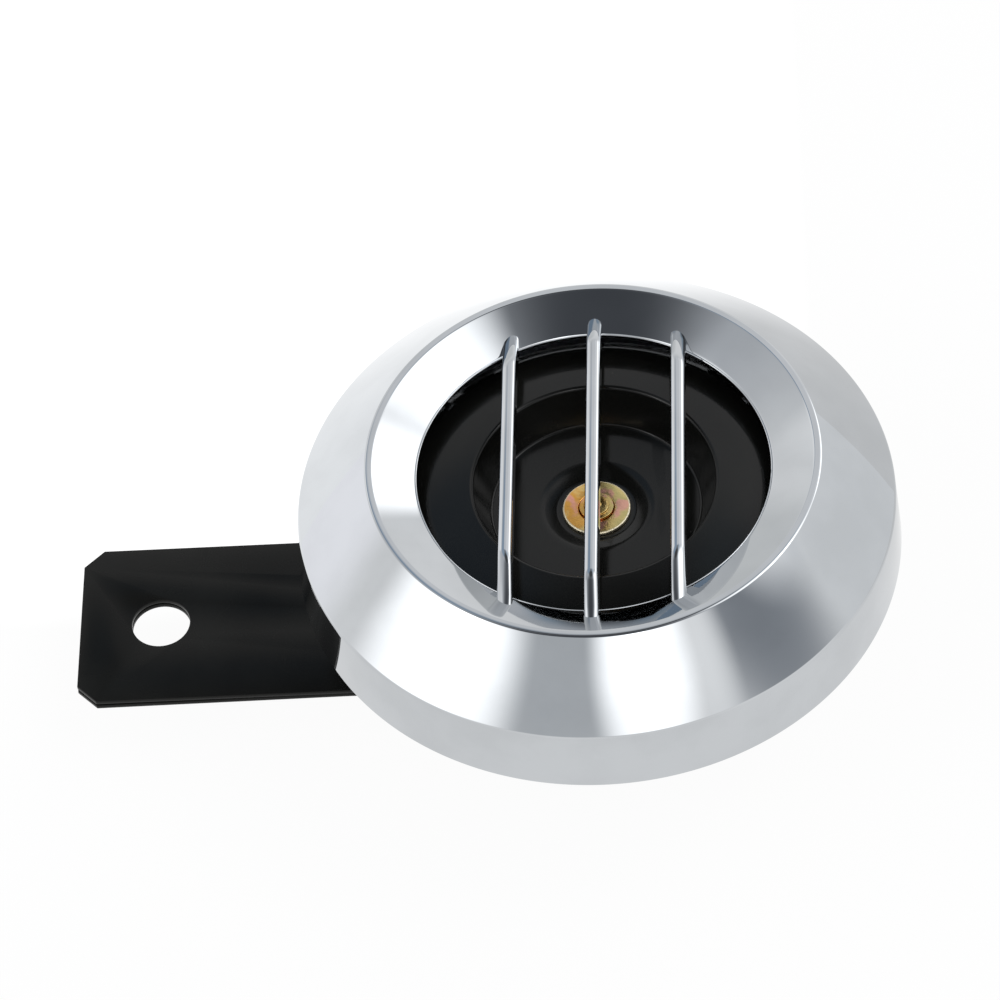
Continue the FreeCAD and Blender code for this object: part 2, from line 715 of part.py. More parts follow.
def make_bars():
    """Three bars with a draught, level on top, whose ends slope down and stand in the funnel."""
    top = rim_level + s.bar_top_rise
    under = top - s.bar_depth
    envelope = new_body("bar_envelope")
    funnel_rise = (s.crest_rise - s.mouth_rise) / s.funnel_run
    foot = mouth_level + (bar_foot_r - mouth_r) * funnel_rise
    fall = (top - foot) / (s.bar_flat_back + s.bar_foot_run)
    bury_r = bar_foot_r + s.bar_bury
    tuck_r = mouth_r + s.bar_tuck
    tuck = mouth_level - s.cover_wall / 2
    draught = (s.bar_base_width - s.bar_top_width) / 2 / s.bar_depth
    root_half = s.bar_base_width / 2 + (under - tuck) * draught
    sketch = new_sketch(envelope, "Plateau")
    outline(sketch, [
        (0, under),
        (bar_flat_r - s.bar_depth / 4, under),
        (tuck_r, tuck),
        (bury_r, foot - s.bar_bury * fall),
        (bar_flat_r, top),
        (0, top),
    ])
    revolve(envelope, sketch)

    bars = new_body("bars")
    for side in (-1, 0, 1):
        x = side * s.bar_pitch
        section = new_sketch(bars, f"BarSection{side + 2}")
        outline(section, [
            (x - root_half, tuck),
            (x + root_half, tuck),
            (x + s.bar_top_width / 2, top, s.bar_round),
            (x - s.bar_top_width / 2, top, s.bar_round),
        ])
        pad(bars, section, bury_r * 2, midplane=True, name=f"Bar{side + 2}")
    trimmed = doc.addObject("Part::Common", "trimmed_bars")
    trimmed.Base = bars
    trimmed.Tool = envelope
    return trimmed


def make_resonator_disc():
    """Pressed tone disc: dimple for the washer, deep bowl, flat rim that rolls down at its edge."""
    return sheet_body("resonator_disc", [
        (disc_r, disc_level - s.disc_drop),
        (disc_roll_r, disc_level, s.disc_roll_bend),
        (s.bowl_floor_r + s.bowl_lean, disc_level, s.bowl_edge_bend),
        (s.bowl_floor_r, bowl_level, s.bowl_floor_bend),
        (dimple_r + s.dimple_slant, bowl_level, s.dimple_bend),
        (dimple_r, dimple_level, s.dimple_foot_bend),
        (s.stem_r + s.stem_fit, dimple_level),
    ], s.disc_thick)


def make_front_washer():
    hole = s.stem_r + s.stem_fit
    return turned_body("front_washer", [
        (hole, dimple_level),
        (s.front_washer_r, dimple_level),
        (s.front_washer_r, washer_level, s.front_washer_round),
        (hole, washer_level),
    ])


def make_armature():
    """Disc and stem in one piece; the stem's end is riveted over with a ring and a dimple."""
    end = washer_level + s.stem_proud
    return turned_body("armature", [
        (0, armature_low),
        (s.armature_r, armature_low, s.armature_round),
        (s.armature_r, armature_high, s.armature_round),
        (s.stem_r, armature_high),
        (s.stem_r, end - s.rivet_step),
        (s.rivet_ring_r, end - s.rivet_step),
        (s.rivet_ring_r, end, s.rivet_ring_round),
        (s.rivet_dimple_r, end),
        (0, end - s.rivet_step),
    ])


def make_diaphragm():
    """Sheet with a flat centre and two pressed steps up to its clamped edge."""
    middle = diaphragm_low + (clamped_low - diaphragm_low) / 2
    return sheet_body("diaphragm", [
        (s.stem_r + s.stem_fit, diaphragm_low),
        (diaphragm_flat_r, diaphragm_low, s.diaphragm_bend),
        (diaphragm_step_r, middle, s.diaphragm_bend),
        (step_outer_r, middle, s.diaphragm_bend),
        (diaphragm_mouth_r, clamped_low, s.diaphragm_bend),
        (flange_edge_r, clamped_low),
    ], s.diaphragm_thick)


def make_clamp_ring():
    """Ring whose two lips hold the flange, the gaskets and the diaphragm."""
    outer_bend = s.clamp_bend + s.clamp_thick
    return sheet_body("clamp_ring", [
        (clamp_lip_inner_r, ring_low),
        (clamp_r, ring_low, outer_bend),
        (clamp_r, ring_level, outer_bend),
        (clamp_top_inner_r, ring_level),
    ], s.clamp_thick)


def terminal_places():
    """Places of the two terminal rivets in the horn's own axes."""
    along = tab_rivet_x
    for side in (-1, 1):
        across = side * s.tab_pitch / 2
        x = along * cos_of(s.terminal_turn) - across * sin_of(s.terminal_turn)
        y = along * sin_of(s.terminal_turn) + across * cos_of(s.terminal_turn)
        yield x, y


def rivet_places():
    middle = s.post_inner_x - s.post_length / 2
    for side in (-1, 1):
        yield middle + side * s.rivet_pitch / 2, breaker_y


def make_housing():
    """Drawn shell in two steps, with a flange and the holes in its floor."""
    body = sheet_body("housing", [
        (s.stud_dia / 2 + s.hole_fit, rear_face),
        (housing_floor_r, rear_face, s.housing_floor_round),
        (housing_floor_r, cup_step_low, s.housing_bend),
        (housing_mouth_r, cup_step_high, s.housing_bend + s.housing_thick),
        (housing_mouth_r, flange_low, s.housing_bend),
        (flange_edge_r, flange_low),
    ], s.housing_thick)
    sketch = new_sketch(body, "FloorHoles", "XY_Plane", floor_level)
    for x, y in rivet_places():
        circle(sketch, x, y, s.rivet_r + s.hole_fit)
    for x, y in terminal_places():
        circle(sketch, x, y, s.base_neck_r + s.hole_fit)
    circle(sketch, s.adjust_x, breaker_y, s.bush_neck_r + s.hole_fit)
    pocket(body, sketch, s.housing_thick * 1.5)
    return body


def make_pole_core():
    """Pole and stud in one piece; the pole stands on the housing floor."""
    stud_r = s.stud_dia / 2
    return turned_body("pole_core", [
        (0, 0),
        (stud_r - s.stud_chamfer, 0),
        (stud_r, s.stud_chamfer),
        (stud_r, floor_level),
        (s.core_r, floor_level),
        (s.core_r, pole_face, s.pole_round),
        (0, pole_face),
    ])


def make_coil_bobbin():
    bore = s.core_r + s.hole_fit
    tube = bore + s.bobbin_wall
    return turned_body("coil_bobbin", [
        (bore, bobbin_low),
        (s.bobbin_r, bobbin_low),
        (s.bobbin_r, bobbin_low + s.bobbin_wall),
        (tube, bobbin_low + s.bobbin_wall),
        (tube, bobbin_high - s.bobbin_wall),
        (s.bobbin_r, bobbin_high - s.bobbin_wall),
        (s.bobbin_r, bobbin_high),
        (bore, bobbin_high),
    ])


def make_coil_winding():
    low = bobbin_low + s.bobbin_wall + s.winding_fit
    high = bobbin_high - s.bobbin_wall - s.winding_fit
    inner = s.core_r + s.hole_fit + s.bobbin_wall + s.winding_fit
    return ring("coil_winding", low, high - low, s.bobbin_r - s.winding_margin, inner)


def make_nut():
    """Hexagon nut with chamfered corners."""
    body = new_body("mounting_nut")
    sketch = new_sketch(body, "Hexagon", "XY_Plane", nut_low)
    corner_r = s.nut_flats / 2 / cos_of(as_size(180 / NUT_SIDES))
    corners = []
    for i in range(NUT_SIDES):
        angle = as_size(360 * i / NUT_SIDES)
        corners.append((corner_r * cos_of(angle), corner_r * sin_of(angle)))
    outline(sketch, corners)
    circle(sketch, 0, 0, s.stud_dia / 2 + s.thread_fit)
    pad(body, sketch, s.nut_height)
    chamfer = new_sketch(body, "CornerChamfer")
    inner = s.nut_flats / 2
    outer = s.nut_flats
    drop = (outer - inner) * s.nut_chamfer_slope
    for level, sign in ((nut_low, 1), (nut_high, -1)):
        outline(chamfer, [(inner, level), (outer, level), (outer, level + sign * drop)])
    groove(body, chamfer)
    return body


def make_spring_washer():
    body = ring("spring_washer", nut_high, s.spring_washer_thick,
                s.spring_washer_dia / 2, s.stud_dia / 2 + s.thread_fit)
    sketch = new_sketch(body, "Slit", "XY_Plane", nut_high + s.spring_washer_thick)
    half = s.spring_washer_slit / 2
    rectangle(sketch, s.stud_dia / 4, s.spring_washer_dia, -half, half)
    pocket(body, sketch)
    return body


def leaf_cuts(body, high):
    """Rounded heel round the stud, chamfered free corners, stud hole and mounting hole."""
    half = s.bracket_width / 2
    sketch = new_sketch(body, "Holes", "XY_Plane", high)
    circle(sketch, 0, 0, s.stud_dia / 2 + s.hole_fit)
    circle(sketch, s.mount_hole_edge - s.bracket_reach, 0, s.mount_hole_dia / 2)
    pocket(body, sketch, name="Holes")
    corners = new_sketch(body, "FreeCorners", "XY_Plane", high)
    end = -s.bracket_reach
    for side in (-1, 1):
        outline(corners, [
            (end - OVERRUN, side * (half - s.bracket_corner)),
            (end, side * (half - s.bracket_corner)),
            (end + s.bracket_corner, side * half),
            (end + s.bracket_corner, side * (half + OVERRUN)),
            (end - OVERRUN, side * (half + OVERRUN)),
        ])
    pocket(body, corners, name="FreeCornerCut")


def make_leaf(label, corners):
    """A bracket leaf from its side profile."""
    body = new_body(label)
    sketch = new_sketch(body, "Profile")
    sheet_outline(sketch, corners, s.leaf_thick)
    pad(body, sketch, s.bracket_width, midplane=True)
    leaf_cuts(body, rear_face + OVERRUN)
    half = s.bracket_width / 2
    round_edges(body, half * HEEL_SHARE, lambda edge: is_heel_edge(edge, half), "Heel")
    return body


def is_heel_edge(edge, half):
    """The two upright edges at the heel."""
    box = edge.BoundBox
    return box.XMin > half.number - NEAR and box.XLength < NEAR and box.YLength < NEAR


def make_front_leaf():
    return make_leaf("bracket_front_leaf", [
        (-s.bracket_reach, front_leaf_low),
        (s.bracket_width / 2, front_leaf_low),
    ])


def make_rear_leaf():
    """Its free end stands slightly off the front leaf."""
    return make_leaf("bracket_rear_leaf", [
        (-s.bracket_reach, rear_leaf_low - s.leaf_splay),
        (-s.splay_start, rear_leaf_low),
        (s.bracket_width / 2, rear_leaf_low),
    ])


def post_span():
    return s.post_inner_x - s.post_length, s.post_inner_x


def post_block(label, low, height, hole_r):
    """A block of the breaker's stack, with the two rivet holes."""
    x_low, x_high = post_span()
    body = new_body(label)
    sketch = new_sketch(body, "Section", "XY_Plane", low)
    half = s.post_width / 2
    rectangle(sketch, x_low, x_high, breaker_y - half, breaker_y + half)
    for x, y in rivet_places():
        circle(sketch, x, y, hole_r)
    pad(body, sketch, height)
    return body


def make_breaker_insulators():
    """The strip between the blades and the one under the rivet heads."""
    hole = s.rivet_r + s.running_fit
    middle = post_block("middle_insulator", blade_level, s.insulator_thick, hole)
    cap = post_block("cap_insulator", arm_high, s.cap_thick, hole)
    return compound("breaker_insulators", [middle, cap])


def compound(label, items):
    """Several separate pieces of one kind in one sub-part."""
    group = doc.addObject("Part::Compound", label)
    group.Label = label
    group.Links = items
    return group


def make_contact_spring():
    """Thin blade with a tongue that reaches under the armature."""
    x_low, _ = post_span()
    x_high = s.contact_x + s.blade_past_contact
    half = s.blade_width / 2
    tongue = s.tongue_width / 2
    tongue_end = pin_y - s.pin_r - s.tongue_past_pin
    body = new_body("contact_spring")
    sketch = new_sketch(body, "Blade", "XY_Plane", post_level)
    outline(sketch, [
        (x_low, breaker_y - half),
        (s.contact_x - tongue, breaker_y - half, s.blade_neck_round),
        (s.contact_x - tongue, tongue_end, s.tongue_corner),
        (s.contact_x + tongue, tongue_end, s.tongue_corner),
        (s.contact_x + tongue, breaker_y - half, s.blade_corner / 2),
        (x_high, breaker_y - half, s.blade_corner / 2),
        (x_high, breaker_y + half, s.blade_corner),
        (x_low, breaker_y + half),
    ])
    for x, y in rivet_places():
        circle(sketch, x, y, s.rivet_r + s.hole_fit)
    circle(sketch, s.contact_x, breaker_y, s.contact_shank_r + s.running_fit)
    circle(sketch, s.contact_x, pin_y, s.contact_shank_r + s.running_fit)
    pad(body, sketch, s.blade_thick)
    return body


def make_fixed_contact_arm():
    """Stiff strip above the blade, held at its free end by the adjusting screw."""
    x_low, _ = post_span()
    x_high = s.adjust_x + s.adjust_r + s.arm_past_screw
    half = s.blade_width / 2
    body = new_body("fixed_contact_arm")
    sketch = new_sketch(body, "Arm", "XY_Plane", arm_low)
    outline(sketch, [
        (x_low, breaker_y - half),
        (x_high, breaker_y - half, s.arm_corner),
        (x_high, breaker_y + half, s.arm_corner),
        (x_low, breaker_y + half),
    ])
    for x, y in rivet_places():
        circle(sketch, x, y, s.rivet_r + s.hole_fit)
    circle(sketch, s.contact_x, breaker_y, s.contact_shank_r + s.running_fit)
    pad(body, sketch, s.arm_thick)
    return body


def stepped_pin(label, x, y, steps):
    """Coaxial cylinders on top of each other; a step is (radius, low, high)."""
    body = new_body(label)
    for i, (radius, low, high) in enumerate(steps, 1):
        sketch = new_sketch(body, f"Step{i}", "XY_Plane", low)
        circle(sketch, x, y, radius)
        pad(body, sketch, high - low, name=f"Pad{i}")
    return body


def make_contacts():
    """The two contacts meet halfway between the blades; the push pin stands on the tongue."""
    meet = blade_level + s.insulator_thick / 2
    stepped_pin("moving_contact", s.contact_x, breaker_y, [
        (s.contact_back_r, post_level - s.contact_back, post_level),
        (s.contact_shank_r, post_level, blade_level),
        (s.contact_r, blade_level, meet),
    ])
    stepped_pin("fixed_contact", s.contact_x, breaker_y, [
        (s.contact_r, meet, arm_low),
        (s.contact_shank_r, arm_low, arm_high),
        (s.contact_back_r, arm_high, arm_high + s.contact_back),
    ])
    stepped_pin("push_pin", s.contact_x, pin_y, [
        (s.contact_back_r, post_level - s.contact_back, post_level),
        (s.contact_shank_r, post_level, blade_level),
        (s.pin_r, blade_level, armature_low - s.pin_play),
    ])


def make_breaker_rivets():
    low = rear_face - s.rivet_head_thick
    high = arm_high + s.cap_thick
    rivets = []
    for i, (x, y) in enumerate(rivet_places(), 1):
        rivets.append(stepped_pin(f"breaker_rivet_{i}", x, y, [
            (s.rivet_head_r, low, rear_face),
            (s.rivet_r, rear_face, high),
            (s.rivet_head_r, high, high + s.rivet_head_thick),
        ]))
    return compound("breaker_rivets", rivets)


def make_adjuster():
    """Slotted screw in a flanged bush; its tip carries the fixed contact arm."""
    bush_low = rear_face - s.bush_flange_thick
    head_high = bush_low - s.adjust_head_gap
    head_low = head_high - s.adjust_head_thick
    screw = stepped_pin("adjusting_screw", s.adjust_x, breaker_y, [
        (s.adjust_head_r, head_low, head_high),
        (s.adjust_r, head_high, arm_low),
    ])
    slot = new_sketch(screw, "Slot", "XY_Plane", head_low)
    half = s.adjust_slot_width / 2
    reach = s.adjust_head_r + OVERRUN
    rectangle(slot, s.adjust_x - reach, s.adjust_x + reach, breaker_y - half, breaker_y + half)
    pocket(screw, slot, s.adjust_slot_depth, upwards=True)
    bush = stepped_pin("adjuster_bush", s.adjust_x, breaker_y, [
        (s.bush_r, bush_low, rear_face),
        (s.bush_neck_r, rear_face, floor_level + s.bush_length),
    ])
    bore = new_sketch(bush, "Bore", "XY_Plane", floor_level + s.bush_length)
    circle(bore, s.adjust_x, breaker_y, s.adjust_r + s.running_fit)
    pocket(bush, bore)


def make_arc_resistor():
    """Ceramic resistor lying on the floor, with its two lead wires."""
    body = new_body("arc_resistor")
    level = floor_level + s.resistor_r
    sketch = new_sketch(body, "Section", "YZ_Plane")
    circle(sketch, resistor_y, level, s.resistor_r)
    pad(body, sketch, s.resistor_length, midplane=True)
    wire = new_sketch(body, "Wire", "YZ_Plane")
    circle(wire, resistor_y, level, s.resistor_wire_r)
    pad(body, wire, s.resistor_length + 2 * s.resistor_wire_run, midplane=True, name="Wire")
    return body


def make_terminals():
    """Moulded base behind the floor, two tabs on it and the rivets that hold them."""
    base_low = rear_face - s.base_thick
    half = s.base_width / 2
    outer_x = base_inner_x + s.base_length
    base = new_body("terminal_base")
    sketch = new_sketch(base, "Section", "XY_Plane", base_low)
    outline(sketch, [
        (base_inner_x, -half, s.base_round),
        (outer_x, -half, s.base_round),
        (outer_x, half, s.base_round),
        (base_inner_x, half, s.base_round),
    ])
    pad(base, sketch, s.base_thick)
    neck = new_sketch(base, "Necks", "XY_Plane", rear_face)
    bore = new_sketch(base, "Bores", "XY_Plane", floor_level)
    tab_low = base_low - s.tab_thick
    rivets = []
    washers = []
    for side, letter in ((-1, "a"), (1, "b")):
        y = side * s.tab_pitch / 2
        circle(neck, tab_rivet_x, y, s.base_neck_r)
        circle(bore, tab_rivet_x, y, s.tab_rivet_r + s.running_fit)
        turn_about_axis(make_tab(letter, y, tab_low), s.terminal_turn)
        washer_high = floor_level + s.inner_washer_thick
        rivet = stepped_pin(f"terminal_rivet_{letter}", tab_rivet_x, y, [
            (s.tab_rivet_head_r, tab_low - s.tab_rivet_head_thick, tab_low),
            (s.tab_rivet_r, tab_low, washer_high),
            (s.tab_rivet_head_r, washer_high, washer_high + s.tab_rivet_head_thick),
        ])
        washer = new_body(f"inner_washer_{letter}")
        washer_sketch = new_sketch(washer, "Section", "XY_Plane", floor_level)
        circle(washer_sketch, tab_rivet_x, y, s.inner_washer_r)
        circle(washer_sketch, tab_rivet_x, y, s.tab_rivet_r + s.running_fit)
        pad(washer, washer_sketch, s.inner_washer_thick)
        turn_about_axis(rivet, s.terminal_turn)
        turn_about_axis(washer, s.terminal_turn)
        rivets.append(rivet)
        washers.append(washer)
    pad(base, neck, s.housing_thick, name="Neck")
    pocket(base, bore)
    turn_about_axis(base, s.terminal_turn)
    compound("terminal_rivets", rivets)
    compound("terminal_washers", washers)


def make_tab(letter, y, low):
    """A 6.3 x 0.8 blade terminal with its latch hole and chamfered tip."""
    body = new_body(f"terminal_blade_{letter}")
    half = s.tab_width / 2
    inner_x = base_inner_x + s.tab_on_base
    sketch = new_sketch(body, "Section", "XY_Plane", low)
    outline(sketch, [
        (inner_x, y - half, s.tab_corner),
        (tab_tip_x - s.tab_tip_chamfer, y - half),
        (tab_tip_x, y - half + s.tab_tip_chamfer),
        (tab_tip_x, y + half - s.tab_tip_chamfer),
        (tab_tip_x - s.tab_tip_chamfer, y + half),
        (inner_x, y + half, s.tab_corner),
    ])
    circle(sketch, tab_rivet_x, y, s.tab_rivet_r + s.running_fit)
    circle(sketch, tab_tip_x - s.tab_hole_back, y, s.tab_hole_r)
    pad(body, sketch, s.tab_thick)
    return body


make_trim_cover()
make_resonator_disc()
make_front_washer()
make_armature()
ring("disc_spacer", diaphragm_high, s.spacer_thick, s.spacer_r, s.stem_r + s.stem_fit)
ring("diaphragm_backing_washer", armature_high, s.backing_thick, s.backing_r, s.stem_r + s.stem_fit)
make_diaphragm()
ring("front_gasket", clamped_high, s.gasket_thick, flange_edge_r, gasket_inner_r)
ring("rear_gasket", flange_high, s.gasket_thick, flange_edge_r, gasket_inner_r)
make_clamp_ring()
make_housing()
make_pole_core()
make_coil_bobbin()
make_coil_winding()
make_nut()
make_spring_washer()
make_front_leaf()
make_rear_leaf()
post_block("breaker_post", floor_level, post_level - floor_level, s.rivet_r + s.running_fit)
make_contact_spring()
make_fixed_contact_arm()
make_contacts()
make_breaker_insulators()
make_breaker_rivets()
make_adjuster()
make_arc_resistor()
make_terminals()
doc.recompute()

NODES = (
    "trim_cover", "resonator_disc", "front_washer", "armature", "disc_spacer",
    "diaphragm_backing_washer", "diaphragm", "front_gasket", "rear_gasket", "clamp_ring",
    "housing", "pole_core", "coil_bobbin", "coil_winding", "mounting_nut", "spring_washer",
    "bracket_front_leaf", "bracket_rear_leaf", "breaker_post", "contact_spring",
    "fixed_contact_arm", "moving_contact", "fixed_contact", "push_pin", "breaker_insulators",
    "breaker_rivets", "adjusting_screw", "adjuster_bush", "arc_resistor", "terminal_base",
    "terminal_blade_a", "terminal_blade_b", "terminal_rivets", "terminal_washers",
)

for item in doc.Objects:
    if "Invalid" in item.State or "Error" in item.State:
        raise ValueError(f"{item.Label} failed: {item.State}")
os.makedirs("parts", exist_ok=True)
for name in NODES:
    shape = doc.getObjectsByLabel(name)[0].Shape
    if shape.isNull() or not shape.isValid() or not shape.Solids:
        raise ValueError(f"{name} has no valid solid")
    shape.exportStep(f"parts/{name}.step")
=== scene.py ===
import math

import bmesh
import bpy
from bpy.props import FloatProperty, FloatVectorProperty, IntProperty, PointerProperty
from bpy.types import Operator, Panel, PropertyGroup
from mathutils import Matrix, Vector


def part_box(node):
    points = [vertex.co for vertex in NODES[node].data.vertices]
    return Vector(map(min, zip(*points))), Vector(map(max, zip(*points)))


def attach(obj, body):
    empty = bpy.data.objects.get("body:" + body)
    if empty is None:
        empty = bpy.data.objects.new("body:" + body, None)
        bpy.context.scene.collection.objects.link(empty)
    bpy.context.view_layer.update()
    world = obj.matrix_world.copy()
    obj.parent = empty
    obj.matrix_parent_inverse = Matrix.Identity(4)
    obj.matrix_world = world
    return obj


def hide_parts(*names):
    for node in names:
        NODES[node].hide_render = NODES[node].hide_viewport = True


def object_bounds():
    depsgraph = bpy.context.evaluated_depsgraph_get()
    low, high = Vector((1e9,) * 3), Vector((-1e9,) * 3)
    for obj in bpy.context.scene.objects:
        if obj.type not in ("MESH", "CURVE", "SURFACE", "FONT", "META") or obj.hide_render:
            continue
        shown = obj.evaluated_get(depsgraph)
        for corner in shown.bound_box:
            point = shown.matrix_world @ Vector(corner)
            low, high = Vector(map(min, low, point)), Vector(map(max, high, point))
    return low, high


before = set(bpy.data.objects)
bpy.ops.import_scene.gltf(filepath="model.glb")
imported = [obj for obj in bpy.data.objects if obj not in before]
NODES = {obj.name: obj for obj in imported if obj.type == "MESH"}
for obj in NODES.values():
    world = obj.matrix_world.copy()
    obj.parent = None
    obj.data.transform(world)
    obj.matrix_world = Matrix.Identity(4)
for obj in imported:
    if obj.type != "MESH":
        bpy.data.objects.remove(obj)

bl_info = {
    "name": "Disc Horn",
    "version": (1, 0, 0),
    "blender": (4, 5, 0),
    "location": "View3D > Sidebar > Disc Horn",
    "description": "Dresses the frame of an electric disc horn and sets its stage",
    "category": "Object",
}

# The horn lies on its back: its axis is Z, its face looks up, its bracket points to -X.
CAD_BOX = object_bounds()
MM = 0.001
AXIS = (0.0, 0.0, 0.0)
UP = (0.0, 0.0, 1.0)
RING_STEPS = 288
SMALL_RING_STEPS = 96
ARC_STEP = math.radians(8.0)
SMOOTH_ANGLE = math.radians(32.0)
BEAD_SIDES = 10
HOLE_STEPS = 64
FLOOR_GAP = 0.2 * MM
LEAST_BACK_RADIUS = 0.05 * MM
LEAST_SPLAY = 0.01 * MM

# The studio: brightness of the room low down and overhead, then its soft lights and dark places,
# each as azimuth, elevation, outer and inner angle in degrees, and brightness.
ROOM_LOW = (1.0, 1.0, 1.0)
ROOM_HIGH = (0.55, 0.57, 0.60)
ROOM_LIGHTS = (
    (25.0, 6.0, 42.0, 24.0, (0.93, 0.94, 0.95)),
    (108.0, 4.0, 26.0, 8.0, (0.79, 0.80, 0.80)),
    (112.0, 59.0, 17.0, 9.0, (0.33, 0.42, 0.53)),
    (68.0, 60.0, 15.0, 8.0, (0.46, 0.56, 0.66)),
    (90.0, 61.0, 9.0, 3.0, (0.28, 0.29, 0.31)),
    (90.0, 76.0, 17.0, 8.0, (0.08, 0.085, 0.09)),
    (66.0, 44.0, 14.0, 8.0, (1.0, 1.0, 1.02)),
    (88.0, 46.0, 12.0, 7.0, (0.84, 0.85, 0.87)),
    (-105.0, 71.0, 36.0, 6.0, (0.075, 0.08, 0.09)),
    (-108.0, 42.0, 22.0, 1.0, (0.62, 0.64, 0.66)),
    (-20.0, 38.0, 25.0, 5.0, (0.31, 0.33, 0.36)),
    (5.0, 33.0, 9.0, 2.0, (0.60, 0.62, 0.65)),
    (-55.0, 42.0, 16.0, 4.0, (1.15, 1.15, 1.15)),
    (32.0, 54.0, 22.0, 6.0, (0.90, 0.91, 0.93)),
    (-73.5, 44.0, 18.0, 2.0, (2.2, 2.2, 2.2)),
    (-73.5, 44.0, 5.0, 3.0, (4.0, 4.0, 4.0)),
    (-155.0, 34.0, 30.0, 3.0, (2.2, 2.2, 2.2)),
    (-150.0, 35.0, 8.0, 5.0, (5.0, 5.0, 5.0)),
    (44.0, 29.0, 17.0, 9.0, (2.1, 2.1, 2.1)),
    (8.0, 50.0, 27.0, 5.0, (2.1, 2.1, 2.1)),
    (12.0, 50.0, 8.0, 5.0, (5.0, 5.0, 5.0)),
    (130.0, 36.0, 12.0, 4.0, (1.15, 1.15, 1.15)),
    (148.0, 0.0, 30.0, 12.0, (1.25, 1.24, 1.27)),
)


def bottom(node):
    """The lowest level of a node, in metres."""
    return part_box(node)[0].z


def top(node):
    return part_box(node)[1].z


def reach(node):
    """Half the width of a node along X, which is its radius if it is round about the axis."""
    low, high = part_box(node)
    return (high.x - low.x) / 2


def length(name, description, default):
    return FloatProperty(name=name, description=description, default=default,
                         min=0.0, precision=5, subtype="DISTANCE", unit="LENGTH")


def colour(name, description, default):
    return FloatVectorProperty(name=name, description=description, default=default,
                               size=3, min=0.0, max=1.0, subtype="COLOR")


def share(name, description, default):
    return FloatProperty(name=name, description=description, default=default,
                         min=0.0, max=1.0, subtype="FACTOR")


class DISCHORN_PG_cover(PropertyGroup):
    """Sizes of the chromed trim cover."""

    bar_rise: length("Bar rise", "Rim plane to the top of the grille bars", 10.7 * MM)
    rim_radius: length("Rim radius", "Edge between the cone and the skirt", 45.0 * MM)
    skirt_flare: length("Skirt flare", "How much wider the skirt is at its foot", 0.75 * MM)
    skirt_height: length("Skirt height", "Rim to the foot of the skirt", 10.4 * MM)
    crest_radius: length("Crest radius", "Outer edge of the crest", 34.0 * MM)
    crest_rise: length("Crest rise", "Rim plane to the crest", 10.2 * MM)
    crest_width: length("Crest width", "Flat top of the crest", 0.95 * MM)
    mouth_radius: length("Opening radius", "Edge of the opening", 26.5 * MM)
    mouth_rise: length("Opening rise", "Rim plane to the edge of the opening", 6.8 * MM)
    wall: length("Wall", "Moulded wall", 1.2 * MM)
    rim_round: length("Rim rounding", "Radius of the rim edge", 1.0 * MM)
    crest_outer_round: length("Crest shoulder", "Radius of the crest's outer edge", 0.6 * MM)
    crest_round: length("Crest rounding", "Radius of the crest's inner edge", 0.4 * MM)
    mouth_round: length("Opening rounding", "Radius of the lip of the opening", 0.4 * MM)
    bead_radius: length("Bead", "Section of the bead round the opening", 0.12 * MM)
    guard: length("Guard", "Rings this far from a rounding keep the funnel's sheen straight",
                  0.1 * MM)
    funnel_swell: length("Funnel swell", "How far the funnel's wall swells in its middle",
                         0.035 * MM)
    foot_round: length("Foot rounding", "Radius at the foot of the skirt", 0.35 * MM)
    rib_thickness: length("Rib thickness", "Ribs that sit on the clamp ring", 1.4 * MM)
    rib_radius: length("Rib radius", "Inner end of a rib", 38.2 * MM)
    hook_width: length("Hook width", "Snap hooks inside the skirt", 7.0 * MM)
    turn: FloatProperty(name="Turn", description="The cover is clipped on slightly turned",
                        default=math.radians(-1.3), subtype="ANGLE", unit="ROTATION")
    ribs: IntProperty(name="Ribs", description="Number of ribs", default=8, min=3)
    hooks: IntProperty(name="Hooks", description="Number of snap hooks", default=6, min=3)


class DISCHORN_PG_grille(PropertyGroup):
    """Sizes of the grille bars."""

    pitch: length("Pitch", "Bars, centre to centre", 12.74 * MM)
    top_width: length("Top width", "Top of a bar over its rounded edges", 2.1 * MM)
    base_width: length("Base width", "Underside of a bar at its middle", 2.3 * MM)
    depth: length("Depth", "Height of a bar's section", 2.8 * MM)
    crown_radius: length("Crown", "Radius of the slightly round top of a bar", 2.0 * MM)
    crown_width: length("Crown width", "Width of that round top", 1.3 * MM)
    flat_radius: length("Level radius", "The tops are level inside this radius", 21.8 * MM)
    bend_run: length("Bend", "Radial run of the bend where a top starts to slope", 1.9 * MM)
    foot_radius: length("Foot radius", "The tops meet the funnel here", 28.9 * MM)
    tip_run: length("Tip run", "The rounded far tips of the bars are this long", 0.5 * MM)
    tip_width: share("Tip width", "Width left at the end of those tips", 0.7)
    foot_droop: FloatProperty(name="Foot droop", default=1.4, min=1.0,
                              description="How much rounder a bar is at its feet")
    bury: length("Foot depth", "A foot runs on into the funnel's wall", 0.5 * MM)
    tuck: length("Tuck", "Underside of a foot beyond the opening edge", 0.8 * MM)
    bars: IntProperty(name="Bars", description="Number of grille bars", default=3, min=1)


